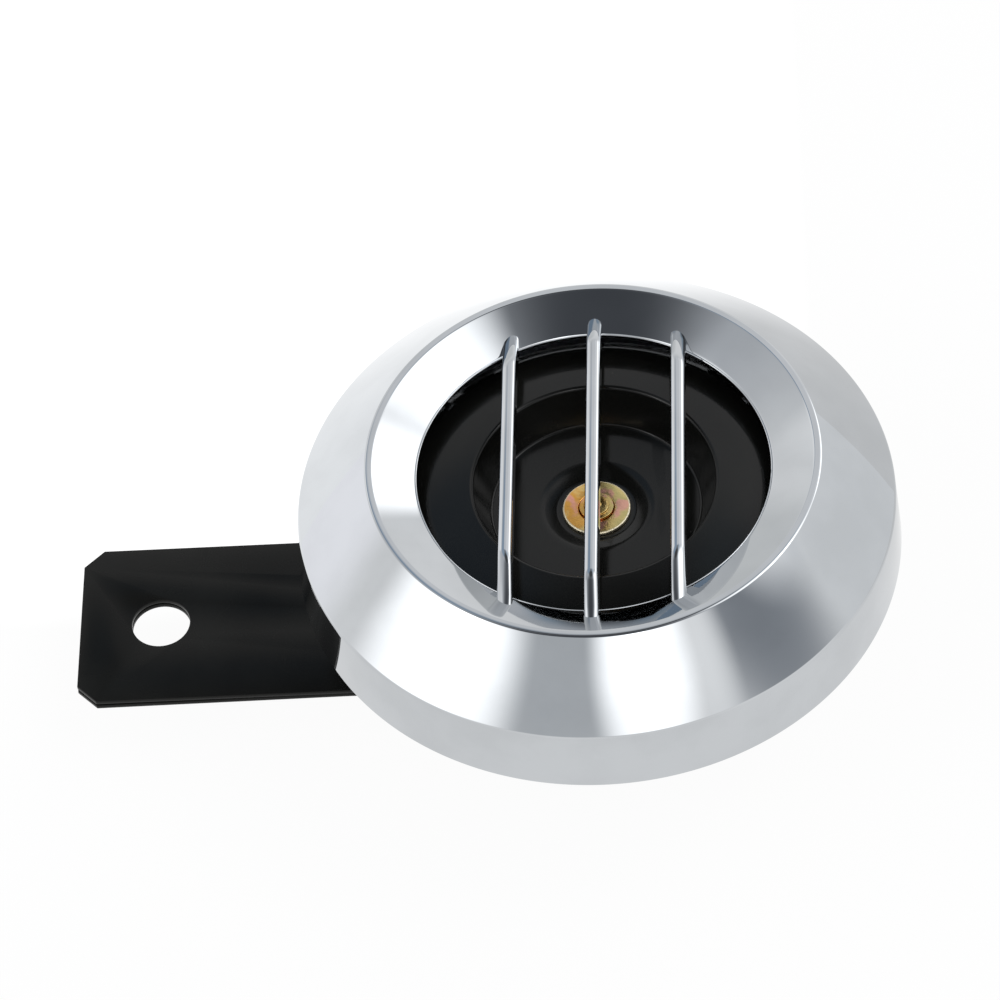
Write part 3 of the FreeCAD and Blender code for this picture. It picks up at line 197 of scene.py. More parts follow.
class DISCHORN_PG_disc(PropertyGroup):
    """Sizes of the pressed tone disc, the washer on it and the riveted stem."""

    sheet: length("Sheet", "Thickness of the disc", 1.0 * MM)
    hole_radius: length("Hole radius", "Hole for the stem", 2.66 * MM)
    dimple_radius: length("Seat radius", "Seat of the washer", 5.9 * MM)
    dimple_slant: length("Seat slant", "Radial run of the seat's wall", 2.4 * MM)
    dimple_depth: length("Seat depth", "Washer seat below the bowl floor", 0.8 * MM)
    dimple_bend: length("Seat bend", "Bend at the top of the seat's wall", 4.0 * MM)
    dimple_foot_bend: length("Seat foot", "Bend at the foot of the seat's wall", 1.6 * MM)
    bowl_radius: length("Bowl radius", "Corner of the bowl floor", 15.9 * MM)
    bowl_lean: length("Bowl lean", "Radial run of the bowl wall", 2.4 * MM)
    bowl_bend: length("Bowl bend", "Bend at the bowl floor", 0.5 * MM)
    edge_bend: length("Bowl edge", "Edge of the bowl", 0.6 * MM)
    dome: length("Dome", "Fall of the rim from the bowl's edge to where it rolls down", 1.0 * MM)
    roll_radius: length("Roll corner", "Corner where the flat rim rolls down", 26.5 * MM)
    roll_bend: length("Roll", "Radius of that roll", 8.0 * MM)
    drop: length("Drop", "Outer edge of the disc below its flat rim", 3.4 * MM)
    stem_radius: length("Stem radius", "Stem of the armature", 2.6 * MM)
    crown_radius: length("Crown radius", "Raised ring of the riveted end", 1.9 * MM)
    crown_height: length("Crown height", "Height of that ring", 0.3 * MM)
    punch_radius: length("Punch radius", "Dimple in the riveted end", 0.75 * MM)


class DISCHORN_PG_bracket(PropertyGroup):
    """Sizes of the two-leaf mounting bracket and what holds it."""

    corner: length("Corner", "Chamfer of the free corners", 3.05 * MM)
    hole_radius: length("Hole radius", "Hole for the mounting bolt", 4.5 * MM)
    hole_edge: length("Hole edge", "Hole centre to the free end", 12.5 * MM)
    stud_hole_radius: length("Stud hole", "Hole round the stud", 3.2 * MM)
    splay_start: length("Splay start", "Axis to where the rear leaf leaves the front one",
                        40.0 * MM)
    edge_round: length("Edge rounding", "Paint-rounded edges", 0.16 * MM)


class DISCHORN_PG_finish(PropertyGroup):
    """Colours of the finishes."""

    chrome: colour("Chrome", "Plated cover", (0.565, 0.585, 0.605))
    paint: colour("Black paint", "Disc, housing and bracket", (0.0052, 0.0053, 0.0048))
    gold: colour("Yellow chromate", "Washer and stem", (0.70, 0.36, 0.08))
    gold_pale: colour("Olive chromate", "Thick places of the chromate", (0.56, 0.47, 0.20))
    zinc: colour("Zinc", "Nuts, screws and washers", (0.60, 0.61, 0.62))
    speck_share: share("Dust", "How much dust lies on the black paint", 0.5)


class DISCHORN_PG_stage(PropertyGroup):
    """The floor, the lamps and the camera."""

    floor_size: length("Floor size", "Side of the floor", 6.0)
    floor_glow: share("Floor glow", "How much of the floor's white is its own", 0.95)
    lens: FloatProperty(name="Lens", description="Focal length", default=185.23, unit="CAMERA")
    distance: length("Distance", "Camera to the middle of the rim", 773.328 * MM)
    elevation: FloatProperty(name="Elevation", description="Camera above the horizon",
                             default=math.radians(50.603), subtype="ANGLE", unit="ROTATION")
    azimuth: FloatProperty(name="Azimuth", description="Camera round the axis",
                           default=math.radians(4.658), subtype="ANGLE", unit="ROTATION")
    roll: FloatProperty(name="Roll", description="Camera about its own line of sight",
                        default=math.radians(-6.209), subtype="ANGLE", unit="ROTATION")
    aside: FloatProperty(name="Aside", description="Middle of the rim beside the line of sight",
                         default=14.402 * MM, subtype="DISTANCE", unit="LENGTH")
    above: FloatProperty(name="Above", description="Middle of the rim above the line of sight",
                         default=0.201 * MM, subtype="DISTANCE", unit="LENGTH")


# Meshes

def round_corner(bm, vert, radius):
    """Rounds the corner where two edges of a wire meet."""
    before, after = (edge.other_vert(vert).co - vert.co for edge in vert.link_edges)
    turn = math.pi - before.angle(after)
    bmesh.ops.bevel(bm, geom=[vert], offset=radius * math.tan(turn / 2), offset_type="OFFSET",
                    affect="VERTICES", segments=max(2, math.ceil(turn / ARC_STEP)), profile=0.5,
                    material=-1)


def draw_section(bm, corners, closed=True):
    """A wire through (radius, height) corners in the XZ plane; a third value rounds a corner."""
    verts = [bm.verts.new((corner[0], 0.0, corner[1])) for corner in corners]
    ends = verts[1:] + verts[:1] if closed else verts[1:]
    for start, end in zip(verts, ends):
        bm.edges.new((start, end))
    for vert, corner in zip(verts, corners):
        if len(corner) > 2:
            round_corner(bm, vert, corner[2])


def wall_section(path, wall):
    """The closed section of a wall that follows the path and lies on its left."""
    points = [Vector(corner[:2]) for corner in path]
    normals = []
    for start, end in zip(points, points[1:]):
        along = (end - start).normalized()
        normals.append(Vector((-along.y, along.x)))
    back = []
    for i, corner in enumerate(path):
        before = normals[max(i - 1, 0)]
        after = normals[min(i, len(normals) - 1)]
        moved = points[i] + (before + after) * (wall / (1 + before.dot(after)))
        turn = before.x * after.y - before.y * after.x
        side = 0 if i in (0, len(path) - 1) else math.copysign(wall, turn)
        radius = corner[2] - side if len(corner) > 2 else 0.0
        rounding = (radius,) if radius > LEAST_BACK_RADIUS else ()
        back.append((moved.x, moved.y) + rounding)
    return list(path) + back[::-1]


def spin_section(bm, steps=RING_STEPS):
    """Turns the section into a solid about the axis."""
    bmesh.ops.spin(bm, geom=bm.verts[:] + bm.edges[:], cent=AXIS, axis=UP, dvec=AXIS,
                   angle=math.tau, steps=steps, use_merge=True, use_normal_flip=False,
                   use_duplicate=False)
    bmesh.ops.remove_doubles(bm, verts=bm.verts[:], dist=1e-7)
    bmesh.ops.recalc_face_normals(bm, faces=bm.faces[:])


def extrude_face(bm, face, step):
    """Pulls a face out by a vector; returns all corners of the block."""
    pulled = bmesh.ops.extrude_face_region(bm, geom=[face])["geom"]
    moved = [item for item in pulled if isinstance(item, bmesh.types.BMVert)]
    bmesh.ops.translate(bm, verts=moved, vec=step)
    return list(face.verts) + moved


def radial_plates(bm, corners, width, count):
    """Plates with this outline in the XZ plane, repeated round the axis."""
    for i in range(count):
        verts = [bm.verts.new((x, -width / 2, z)) for x, z in corners]
        block = extrude_face(bm, bm.faces.new(verts), (0.0, width, 0.0))
        bmesh.ops.rotate(bm, verts=list(set(block) | set(verts)), cent=AXIS,
                         matrix=Matrix.Rotation(math.tau * i / count, 3, "Z"))


def hard_edges(bm, angle=SMOOTH_ANGLE):
    return [edge for edge in bm.edges if edge.is_manifold and edge.calc_face_angle() > angle]


def bevel_edges(bm, edges, width, segments=2):
    bmesh.ops.bevel(bm, geom=edges, offset=width, offset_type="OFFSET", affect="EDGES",
                    segments=segments, profile=0.5, material=-1, clamp_overlap=True)


def finish_piece(name, bm, materials, body, replaced=()):
    """Makes the object, shades it, and puts it in the frame."""
    for face in bm.faces:
        face.smooth = True
    for edge in hard_edges(bm):
        edge.smooth = False
    mesh = bpy.data.meshes.new(name)
    bm.to_mesh(mesh)
    bm.free()
    for material in materials:
        mesh.materials.append(material)
    piece = bpy.data.objects.new(name, mesh)
    bpy.context.scene.collection.objects.link(piece)
    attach(piece, body)
    if replaced:
        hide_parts(*replaced)
    return piece


# Materials

def new_material(name):
    """A material with its node tree, its shader and its Object coordinates."""
    material = bpy.data.materials.new(name)
    material.use_nodes = True
    tree = material.node_tree
    shader = tree.nodes["Principled BSDF"]
    place = tree.nodes.new("ShaderNodeTexCoord").outputs["Object"]
    return material, tree, shader, place


def noise(tree, place, scale, detail=3.0, stretch=None):
    """A noise of this many waves a metre; stretch squeezes it along an axis."""
    if stretch:
        mapping = tree.nodes.new("ShaderNodeMapping")
        mapping.inputs["Scale"].default_value = stretch
        tree.links.new(place, mapping.inputs["Vector"])
        place = mapping.outputs["Vector"]
    node = tree.nodes.new("ShaderNodeTexNoise")
    node.inputs["Scale"].default_value = scale
    node.inputs["Detail"].default_value = detail
    tree.links.new(place, node.inputs["Vector"])
    return node.outputs["Fac"]


def between(tree, value, low, high, to_low=0.0, to_high=1.0):
    """Maps low..high of a value to another span, clamped."""
    node = tree.nodes.new("ShaderNodeMapRange")
    node.interpolation_type = "SMOOTHSTEP"
    node.inputs["From Min"].default_value = low
    node.inputs["From Max"].default_value = high
    node.inputs["To Min"].default_value = to_low
    node.inputs["To Max"].default_value = to_high
    tree.links.new(value, node.inputs["Value"])
    return node.outputs["Result"]


def blend(tree, factor, first, second):
    """Mixes two colours by a factor; a colour is a value or a socket."""
    node = tree.nodes.new("ShaderNodeMix")
    node.data_type = "RGBA"
    tree.links.new(factor, node.inputs["Factor"])
    for socket, value in ((node.inputs[6], first), (node.inputs[7], second)):
        if isinstance(value, bpy.types.NodeSocket):
            tree.links.new(value, socket)
        else:
            socket.default_value = (*value[:3], 1.0)
    return node.outputs[2]


def combine(tree, operation, first, second):
    node = tree.nodes.new("ShaderNodeMath")
    node.operation = operation
    for socket, value in zip(node.inputs, (first, second)):
        if isinstance(value, bpy.types.NodeSocket):
            tree.links.new(value, socket)
        else:
            socket.default_value = value
    return node.outputs["Value"]


def add_bump(tree, shader, height, distance, strength=1.0):
    """Bump of a height of 0 to 1, deep as the distance in metres."""
    node = tree.nodes.new("ShaderNodeBump")
    node.inputs["Strength"].default_value = strength
    node.inputs["Distance"].default_value = distance
    tree.links.new(height, node.inputs["Height"])
    tree.links.new(node.outputs["Normal"], shader.inputs["Normal"])


def specks(tree, place, scale, size):
    """Small scattered spots: 1 on a spot, 0 elsewhere."""
    cells = tree.nodes.new("ShaderNodeTexVoronoi")
    cells.inputs["Scale"].default_value = scale
    tree.links.new(place, cells.inputs["Vector"])
    spot = between(tree, cells.outputs["Distance"], size, size * 0.4)
    pick = tree.nodes.new("ShaderNodeSeparateColor")
    tree.links.new(cells.outputs["Color"], pick.inputs["Color"])
    chosen = between(tree, pick.outputs["Red"], 0.90, 0.93)
    return combine(tree, "MULTIPLY", spot, chosen)


def chrome_material(finish):
    """Chrome plate on moulded plastic: a mirror with faint waves and a few fine marks."""
    material, tree, shader, place = new_material("cover_chrome_plate")
    haze = noise(tree, place, 90.0, 4.0)
    marks = noise(tree, place, 700.0, 2.0, stretch=(1.0, 0.12, 1.0))
    mark = between(tree, marks, 0.70, 0.76)
    tint = tuple(0.93 * part for part in finish.chrome)
    shade = blend(tree, between(tree, haze, 0.35, 0.7), finish.chrome, tint)
    tree.links.new(shade, shader.inputs["Base Color"])
    smooth = between(tree, haze, 0.3, 0.8, 0.015, 0.035)
    tree.links.new(combine(tree, "ADD", smooth, combine(tree, "MULTIPLY", mark, 0.06)),
                   shader.inputs["Roughness"])
    shader.inputs["Metallic"].default_value = 1.0
    waves = noise(tree, place, 45.0, 1.0)
    add_bump(tree, shader, waves, 0.03 * MM)
    return material


def paint_material(name, finish, dust_scale, gloss=(0.10, 0.18), specular=0.25):
    """Gloss black paint with a faint orange peel, dust specks and light scuffs."""
    material, tree, shader, place = new_material(name)
    cloud = noise(tree, place, 60.0, 4.0)
    dust = specks(tree, place, dust_scale, 0.06)
    dust = combine(tree, "MULTIPLY", dust, finish.speck_share)
    scuff = between(tree, noise(tree, place, 260.0, 3.0, stretch=(1.0, 0.15, 1.0)), 0.66, 0.74)
    pale = tuple(part * 1.6 for part in finish.paint)
    shade = blend(tree, between(tree, cloud, 0.4, 0.75), finish.paint, pale)
    shade = blend(tree, dust, shade, (0.16, 0.15, 0.13))
    tree.links.new(shade, shader.inputs["Base Color"])
    rough = between(tree, cloud, 0.3, 0.75, *gloss)
    rough = combine(tree, "ADD", rough, combine(tree, "MULTIPLY", scuff, 0.12))
    tree.links.new(combine(tree, "ADD", rough, combine(tree, "MULTIPLY", dust, 0.4)),
                   shader.inputs["Roughness"])
    shader.inputs["Specular IOR Level"].default_value = specular
    peel = noise(tree, place, 900.0, 2.0)
    add_bump(tree, shader, combine(tree, "ADD", peel, dust), 0.002 * MM)
    return material


def chromate_material(finish):
    """Yellow chromate over zinc: orange gold on the left, olive on the right, pink in patches."""
    material, tree, shader, place = new_material("washer_chromate")
    patch = noise(tree, place, 230.0, 2.0)
    shimmer = noise(tree, place, 380.0, 2.0)
    parts = tree.nodes.new("ShaderNodeSeparateXYZ")
    tree.links.new(place, parts.inputs["Vector"])
    drift = combine(tree, "MULTIPLY", combine(tree, "SUBTRACT", patch, 0.5), 9.0 * MM)
    side = combine(tree, "ADD", parts.outputs["X"], drift)
    shade = blend(tree, between(tree, side, -3.0 * MM, 3.5 * MM), finish.gold, finish.gold_pale)
    shade = blend(tree, between(tree, shimmer, 0.50, 0.66, 0.0, 0.75), shade, (0.78, 0.36, 0.32))
    shade = blend(tree, between(tree, shimmer, 0.44, 0.3, 0.0, 0.6), shade, (0.80, 0.62, 0.26))
    flat = tree.nodes.new("ShaderNodeVectorMath")
    flat.operation = "MULTIPLY"
    flat.inputs[1].default_value = (1.0, 1.0, 0.0)
    tree.links.new(place, flat.inputs[0])
    away = tree.nodes.new("ShaderNodeVectorMath")
    away.operation = "LENGTH"
    tree.links.new(flat.outputs["Vector"], away.inputs[0])
    # Painted highlight: a pale, near-white gold ring along the rounded outer rim of the washer,
    # which is also made rougher.
    painted_rim_highlight = between(tree, away.outputs["Value"], 4.80 * MM, 5.0 * MM)
    shade = blend(tree, painted_rim_highlight, shade, (1.0, 0.90, 0.66))
    tree.links.new(shade, shader.inputs["Base Color"])
    shader.inputs["Metallic"].default_value = 1.0
    rough = between(tree, patch, 0.3, 0.7, 0.16, 0.28)
    tree.links.new(combine(tree, "ADD", rough, combine(tree, "MULTIPLY", painted_rim_highlight, 0.15)),
                   shader.inputs["Roughness"])
    grain = noise(tree, place, 2500.0, 2.0)
    add_bump(tree, shader, combine(tree, "ADD", grain, shimmer), 0.012 * MM)
    return material


def metal_material(name, tone, rough=(0.2, 0.34), grain_scale=1500.0, dull=0.8):
    """Plated or rolled metal with fine grain and slightly darker patches."""
    material, tree, shader, place = new_material(name)
    patch = noise(tree, place, 180.0, 4.0)
    shade = blend(tree, between(tree, patch, 0.35, 0.7), tone, tuple(dull * part for part in tone))
    tree.links.new(shade, shader.inputs["Base Color"])
    shader.inputs["Metallic"].default_value = 1.0
    tree.links.new(between(tree, patch, 0.3, 0.7, *rough), shader.inputs["Roughness"])
    grain = noise(tree, place, grain_scale, 2.0)
    add_bump(tree, shader, grain, 0.008 * MM)
    return material


def matt_material(name, tone, rough, grain_scale, depth, vary=0.75):
    """Plastic, paper, hard paper or ceramic: a matt body colour with its own grain."""
    material, tree, shader, place = new_material(name)
    patch = noise(tree, place, grain_scale * 0.2, 4.0)
    shade = blend(tree, between(tree, patch, 0.3, 0.7), tone, tuple(vary * part for part in tone))
    tree.links.new(shade, shader.inputs["Base Color"])
    tree.links.new(between(tree, patch, 0.3, 0.7, rough - 0.06, rough + 0.06),
                   shader.inputs["Roughness"])
    add_bump(tree, shader, noise(tree, place, grain_scale, 3.0), depth)
    return material


def wire_material():
    """Enamelled copper wire: turns about the axis, one above the other, with painted shade in the
    grooves between them.
    """
    material, tree, shader, place = new_material("coil_wire")
    waves = tree.nodes.new("ShaderNodeTexWave")
    waves.wave_type = "BANDS"
    waves.bands_direction = "Z"
    waves.inputs["Scale"].default_value = 420.0
    waves.inputs["Distortion"].default_value = 0.6
    tree.links.new(place, waves.inputs["Vector"])
    # Painted shade: each turn darkens towards the groove beside the next one.
    shade = blend(tree, waves.outputs["Fac"], (0.20, 0.06, 0.02), (0.62, 0.24, 0.09))
    tree.links.new(shade, shader.inputs["Base Color"])
    tree.links.new(between(tree, waves.outputs["Fac"], 0.0, 1.0, 0.4, 0.25),
                   shader.inputs["Roughness"])
    shader.inputs["Metallic"].default_value = 0.7
    add_bump(tree, shader, waves.outputs["Fac"], 0.2 * MM)
    return material


class DISCHORN_OT_carried_nodes(Operator):
    """Give the carried-over CAD nodes their finishes"""

    bl_idname = "dischorn.carried_nodes"
    bl_label = "Finish the CAD nodes"

    def execute(self, context):
        finish = context.scene.dischorn_finish
        brass = metal_material("turned_brass", (0.70, 0.50, 0.22))
        groups = (
            (paint_material("housing_paint", finish, 520.0, (0.18, 0.30)), ("housing",)),
            (metal_material("zinc_plate", finish.zinc), (
                "disc_spacer", "diaphragm_backing_washer", "clamp_ring", "mounting_nut",
                "spring_washer", "breaker_rivets", "adjusting_screw", "pole_core")),
            (metal_material("spring_steel_sheet", (0.36, 0.37, 0.40), (0.25, 0.4)), ("diaphragm",)),
            (metal_material("bronze_strip", (0.62, 0.40, 0.20), (0.2, 0.35)), (
                "contact_spring", "fixed_contact_arm")),
            (metal_material("contact_face", (0.45, 0.45, 0.46), (0.35, 0.5)), (
                "moving_contact", "fixed_contact")),
            (brass, ("adjuster_bush", "terminal_rivets")),
            (metal_material("tinned_blade", (0.66, 0.66, 0.64), (0.22, 0.36)), (
                "terminal_blade_a", "terminal_blade_b")),
            (matt_material("gasket_sheet", (0.36, 0.26, 0.15), 0.8, 900.0, 0.05 * MM), (
                "front_gasket", "rear_gasket")),
            (matt_material("moulded_nylon", (0.028, 0.028, 0.03), 0.5, 1200.0, 0.03 * MM), (
                "coil_bobbin", "terminal_base")),
            (matt_material("hard_paper", (0.26, 0.12, 0.05), 0.45, 700.0, 0.02 * MM), (
                "breaker_post", "breaker_insulators", "push_pin", "terminal_washers")),
            (matt_material("fired_clay", (0.72, 0.70, 0.64), 0.7, 1100.0, 0.04 * MM), (
                "arc_resistor",)),
            (wire_material(), ("coil_winding",)),
        )
        for material, names in groups:
            for name in names:
                slots = NODES[name].material_slots
                if not slots:
                    raise RuntimeError(f"{name} has no material slot")
                for slot in slots:
                    slot.material = material
        return {"FINISHED"}


class DISCHORN_OT_trim_cover(Operator):
    """Build the chromed trim cover with its grille bars, ribs and snap hooks"""

    bl_idname = "dischorn.trim_cover"
    bl_label = "Trim cover"

    def execute(self, context):
        cover = context.scene.dischorn_cover
        rim_level = top("trim_cover") - cover.bar_rise
        bm = bmesh.new()
        self.shell(bm, cover, rim_level)
        self.ribs(bm, cover, rim_level)
        self.hooks(bm, cover)
        grille = context.scene.dischorn_grille
        for i in range(grille.bars):
            side = i - (grille.bars - 1) / 2
            self.bar(bm, side * grille.pitch, cover, grille, rim_level)
        bmesh.ops.recalc_face_normals(bm, faces=bm.faces[:])
        bmesh.ops.rotate(bm, verts=bm.verts[:], cent=AXIS,
                         matrix=Matrix.Rotation(cover.turn, 3, "Z"))
        chrome = chrome_material(context.scene.dischorn_finish)
        finish_piece("chromed_cover", bm, [chrome], "horn", ["trim_cover"])
        return {"FINISHED"}

    def shell(self, bm, cover, rim_level):
        """Skirt, cone, crest and funnel in one wall."""
        crest_level = rim_level + cover.crest_rise
        mouth_level = rim_level + cover.mouth_rise
        crest_inner = cover.crest_radius - cover.crest_width
        guard = cover.guard + cover.crest_round / 2

        def funnel(radius):
            share = (radius - cover.mouth_radius) / (crest_inner - cover.mouth_radius)
            swell = 4 * cover.funnel_swell * share * (1 - share)
            return radius, mouth_level + (crest_level - mouth_level) * share + swell

        path = (
            (cover.rim_radius + cover.skirt_flare, rim_level - cover.skirt_height,
             cover.foot_round),
            (cover.rim_radius, rim_level, cover.rim_round),
            (cover.crest_radius, crest_level, cover.crest_outer_round),
            (crest_inner, crest_level, cover.crest_round),
            funnel(crest_inner - guard),
            funnel(crest_inner * 0.7 + cover.mouth_radius * 0.3),
            funnel(crest_inner * 0.4 + cover.mouth_radius * 0.6),
            funnel(cover.mouth_radius + 2 * guard),
            (cover.mouth_radius, mouth_level, cover.mouth_round),
        )
        draw_section(bm, wall_section(path, cover.wall))
        draw_section(bm, self.bead(cover, rim_level))
        spin_section(bm)

    def bead(self, cover, rim_level):
        """The fine round bead left along the edge of the opening."""
        middle = cover.mouth_radius + cover.bead_radius
        level = rim_level + cover.mouth_rise - 0.3 * cover.bead_radius
        turns = [math.tau * i / BEAD_SIDES for i in range(BEAD_SIDES)]
        return [(middle + cover.bead_radius * math.cos(turn),
                 level + cover.bead_radius * math.sin(turn)) for turn in turns]

    def ribs(self, bm, cover, rim_level):
        """Ribs under the cone that sit on the clamp ring."""
        seat = top("clamp_ring") + 0.3 * MM
        outer = cover.rim_radius - cover.wall / 2
        rise = cover.crest_rise / (cover.rim_radius - cover.crest_radius)
        under_cone = rim_level + (cover.rim_radius - cover.rib_radius) * rise - cover.wall
        corners = ((cover.rib_radius, seat), (outer, seat), (outer, rim_level),
                   (cover.rib_radius, under_cone))
        radial_plates(bm, corners, cover.rib_thickness, cover.ribs)

    def hooks(self, bm, cover):
        """Wedges that catch the rear lip of the clamp ring."""
        root = cover.rim_radius - cover.wall / 2
        nose = reach("clamp_ring") - 0.4 * MM
        catch = bottom("clamp_ring") - 0.3 * MM
        land = 0.5 * MM
        ramp = 1.6 * MM
        corners = ((root, catch), (nose, catch), (nose, catch - land), (root, catch - land - ramp))
        radial_plates(bm, corners, cover.hook_width, cover.hooks)

    def bar(self, bm, x, cover, grille, rim_level):
        """A tapered bar; its top is level, slopes down at both ends and stands in the funnel."""
        high = rim_level + cover.bar_rise
        mouth = rim_level + cover.mouth_rise
        crest_inner = cover.crest_radius - cover.crest_width
        funnel_slope = (cover.crest_rise - cover.mouth_rise) / (crest_inner - cover.mouth_radius)
        foot = mouth + (grille.foot_radius - cover.mouth_radius) * funnel_slope
        bend_middle = grille.flat_radius + grille.bend_run / 2
        fall = (high - foot) / (grille.foot_radius - bend_middle)
        taper = (grille.base_width - grille.top_width) / 2 / grille.depth
        tuck_radius = cover.mouth_radius + grille.tuck
        bend_radii = [grille.flat_radius + grille.bend_run * i / 4 for i in range(5)]
        stations = []
        for radius in bend_radii + [tuck_radius, grille.foot_radius - grille.tip_run,
                                    grille.foot_radius, grille.foot_radius + grille.bury]:
            bent = min(radius, bend_radii[-1]) - grille.flat_radius
            straight = radius - grille.flat_radius - bent
            upper = high - fall * (bent ** 2 / (2 * grille.bend_run) + straight)
            under = min(1.0, (radius - grille.flat_radius) / (tuck_radius - grille.flat_radius))
            lower = high - grille.depth + under * (mouth - cover.wall / 2 - high + grille.depth)
            lower += max(0.0, radius - tuck_radius) * funnel_slope
            droop = grille.foot_droop if radius > tuck_radius else 1.0
            stations.append((radius, upper, lower, droop))
        crown = self.crown(grille)
        previous = None
        for side, radius, upper, lower, droop in ([(-1, *station) for station in reversed(stations)]
                                                  + [(1, *station) for station in stations]):
            wide = grille.top_width / 2 + (high - lower) * taper
            spread = 1 + 2 * (high - upper) * taper / grille.top_width
            if side > 0 and radius >= grille.foot_radius:
                spread *= grille.tip_width
            corners = [(x - wide, lower), (x + wide, lower)]
            corners += [(x + across * spread, upper - drop * droop) for across, drop in crown]
            verts = [bm.verts.new((across, side * math.sqrt(radius ** 2 - across ** 2), level))
                     for across, level in corners]
            edges = [bm.edges.new(pair) for pair in zip(verts, verts[1:] + verts[:1])]
            if previous is None:
                bm.faces.new(verts)
            else:
                bmesh.ops.bridge_loops(bm, edges=previous + edges)
            previous = edges
        bm.faces.new(verts)

    @staticmethod
    def crown(grille):
        """The top of a bar's section from right to left, with a round shoulder on each side."""
        half = grille.top_width / 2
        lean = math.asin(grille.crown_width / 2 / grille.crown_radius)
        shoulder = (half - grille.crown_width / 2) / (1 - math.sin(lean))
        across = grille.crown_width / 2 - shoulder * math.sin(lean)
        drop = grille.crown_radius * (1 - math.cos(lean)) + shoulder * math.cos(lean)
        right = [(across + shoulder * math.sin(turn), drop - shoulder * math.cos(turn))
                 for turn in (math.pi / 2 + (lean - math.pi / 2) * i / 6 for i in range(6))]
        right += [(grille.crown_radius * math.sin(turn), grille.crown_radius * (1 - math.cos(turn)))
                  for turn in (lean * (1 - i / 4) for i in range(4))]
        return right + [(0.0, 0.0)] + [(-far, down) for far, down in reversed(right)]


class DISCHORN_OT_tone_disc(Operator):
    """Build the pressed tone disc"""

    bl_idname = "dischorn.tone_disc"
    bl_label = "Tone disc"

    def execute(self, context):
        disc = context.scene.dischorn_disc
        rim = top("resonator_disc")
        seat = bottom("resonator_disc") + disc.sheet
        floor = seat + disc.dimple_depth
        path = (
            (reach("resonator_disc"), rim - disc.drop, 0.15 * MM),
            (disc.roll_radius, rim - disc.dome, disc.roll_bend),
            (disc.bowl_radius + disc.bowl_lean, rim, disc.edge_bend),
            (disc.bowl_radius, floor, disc.bowl_bend),
            (disc.dimple_radius + disc.dimple_slant, floor, disc.dimple_bend),
            (disc.dimple_radius, seat, disc.dimple_foot_bend),
            (disc.hole_radius, seat),
        )
        bm = bmesh.new()
        draw_section(bm, wall_section(path, disc.sheet))
        spin_section(bm)
        paint = paint_material("disc_paint", context.scene.dischorn_finish, 640.0, specular=0.27)
        finish_piece("tone_disc", bm, [paint], "vibrator", ["resonator_disc"])
        return {"FINISHED"}


class DISCHORN_OT_stem_and_washer(Operator):
    """Build the gold washer and the armature with its riveted stem"""

    bl_idname = "dischorn.stem_and_washer"
    bl_label = "Washer and stem"

    def execute(self, context):
        disc = context.scene.dischorn_disc
        gold = chromate_material(context.scene.dischorn_finish)
        self.washer(disc, gold)
        self.armature(disc, gold)
        return {"FINISHED"}

    def washer(self, disc, gold):
        low, high = bottom("front_washer"), top("front_washer")
        outer = reach("front_washer")
        corners = ((disc.hole_radius, low), (outer, low, 0.15 * MM), (outer, high, 0.25 * MM),
                   (disc.hole_radius, high, 0.28 * MM))
        bm = bmesh.new()
        draw_section(bm, corners)
        spin_section(bm, SMALL_RING_STEPS)
        finish_piece("gold_washer", bm, [gold], "vibrator", ["front_washer"])

    def armature(self, disc, gold):
        """Disc and stem; the end is spread with a ring and a punch mark."""
        low, end = bottom("armature"), top("armature")
        disc_top = bottom("diaphragm_backing_washer")
        outer = reach("armature")
        collar = end - disc.crown_height
        corners = (
            (0.0, low),
            (outer, low, 0.5 * MM),
            (outer, disc_top, 0.5 * MM),
            (disc.stem_radius, disc_top),
            (disc.stem_radius, collar, 0.12 * MM),
            (disc.crown_radius, collar, 0.08 * MM),
            (disc.crown_radius, end, 0.12 * MM),
            (disc.punch_radius, end, 0.1 * MM),
            (0.0, collar),
        )
        bm = bmesh.new()
        draw_section(bm, corners, closed=False)
        spin_section(bm, SMALL_RING_STEPS)
        finish_piece("riveted_armature", bm, [gold], "vibrator", ["armature"])


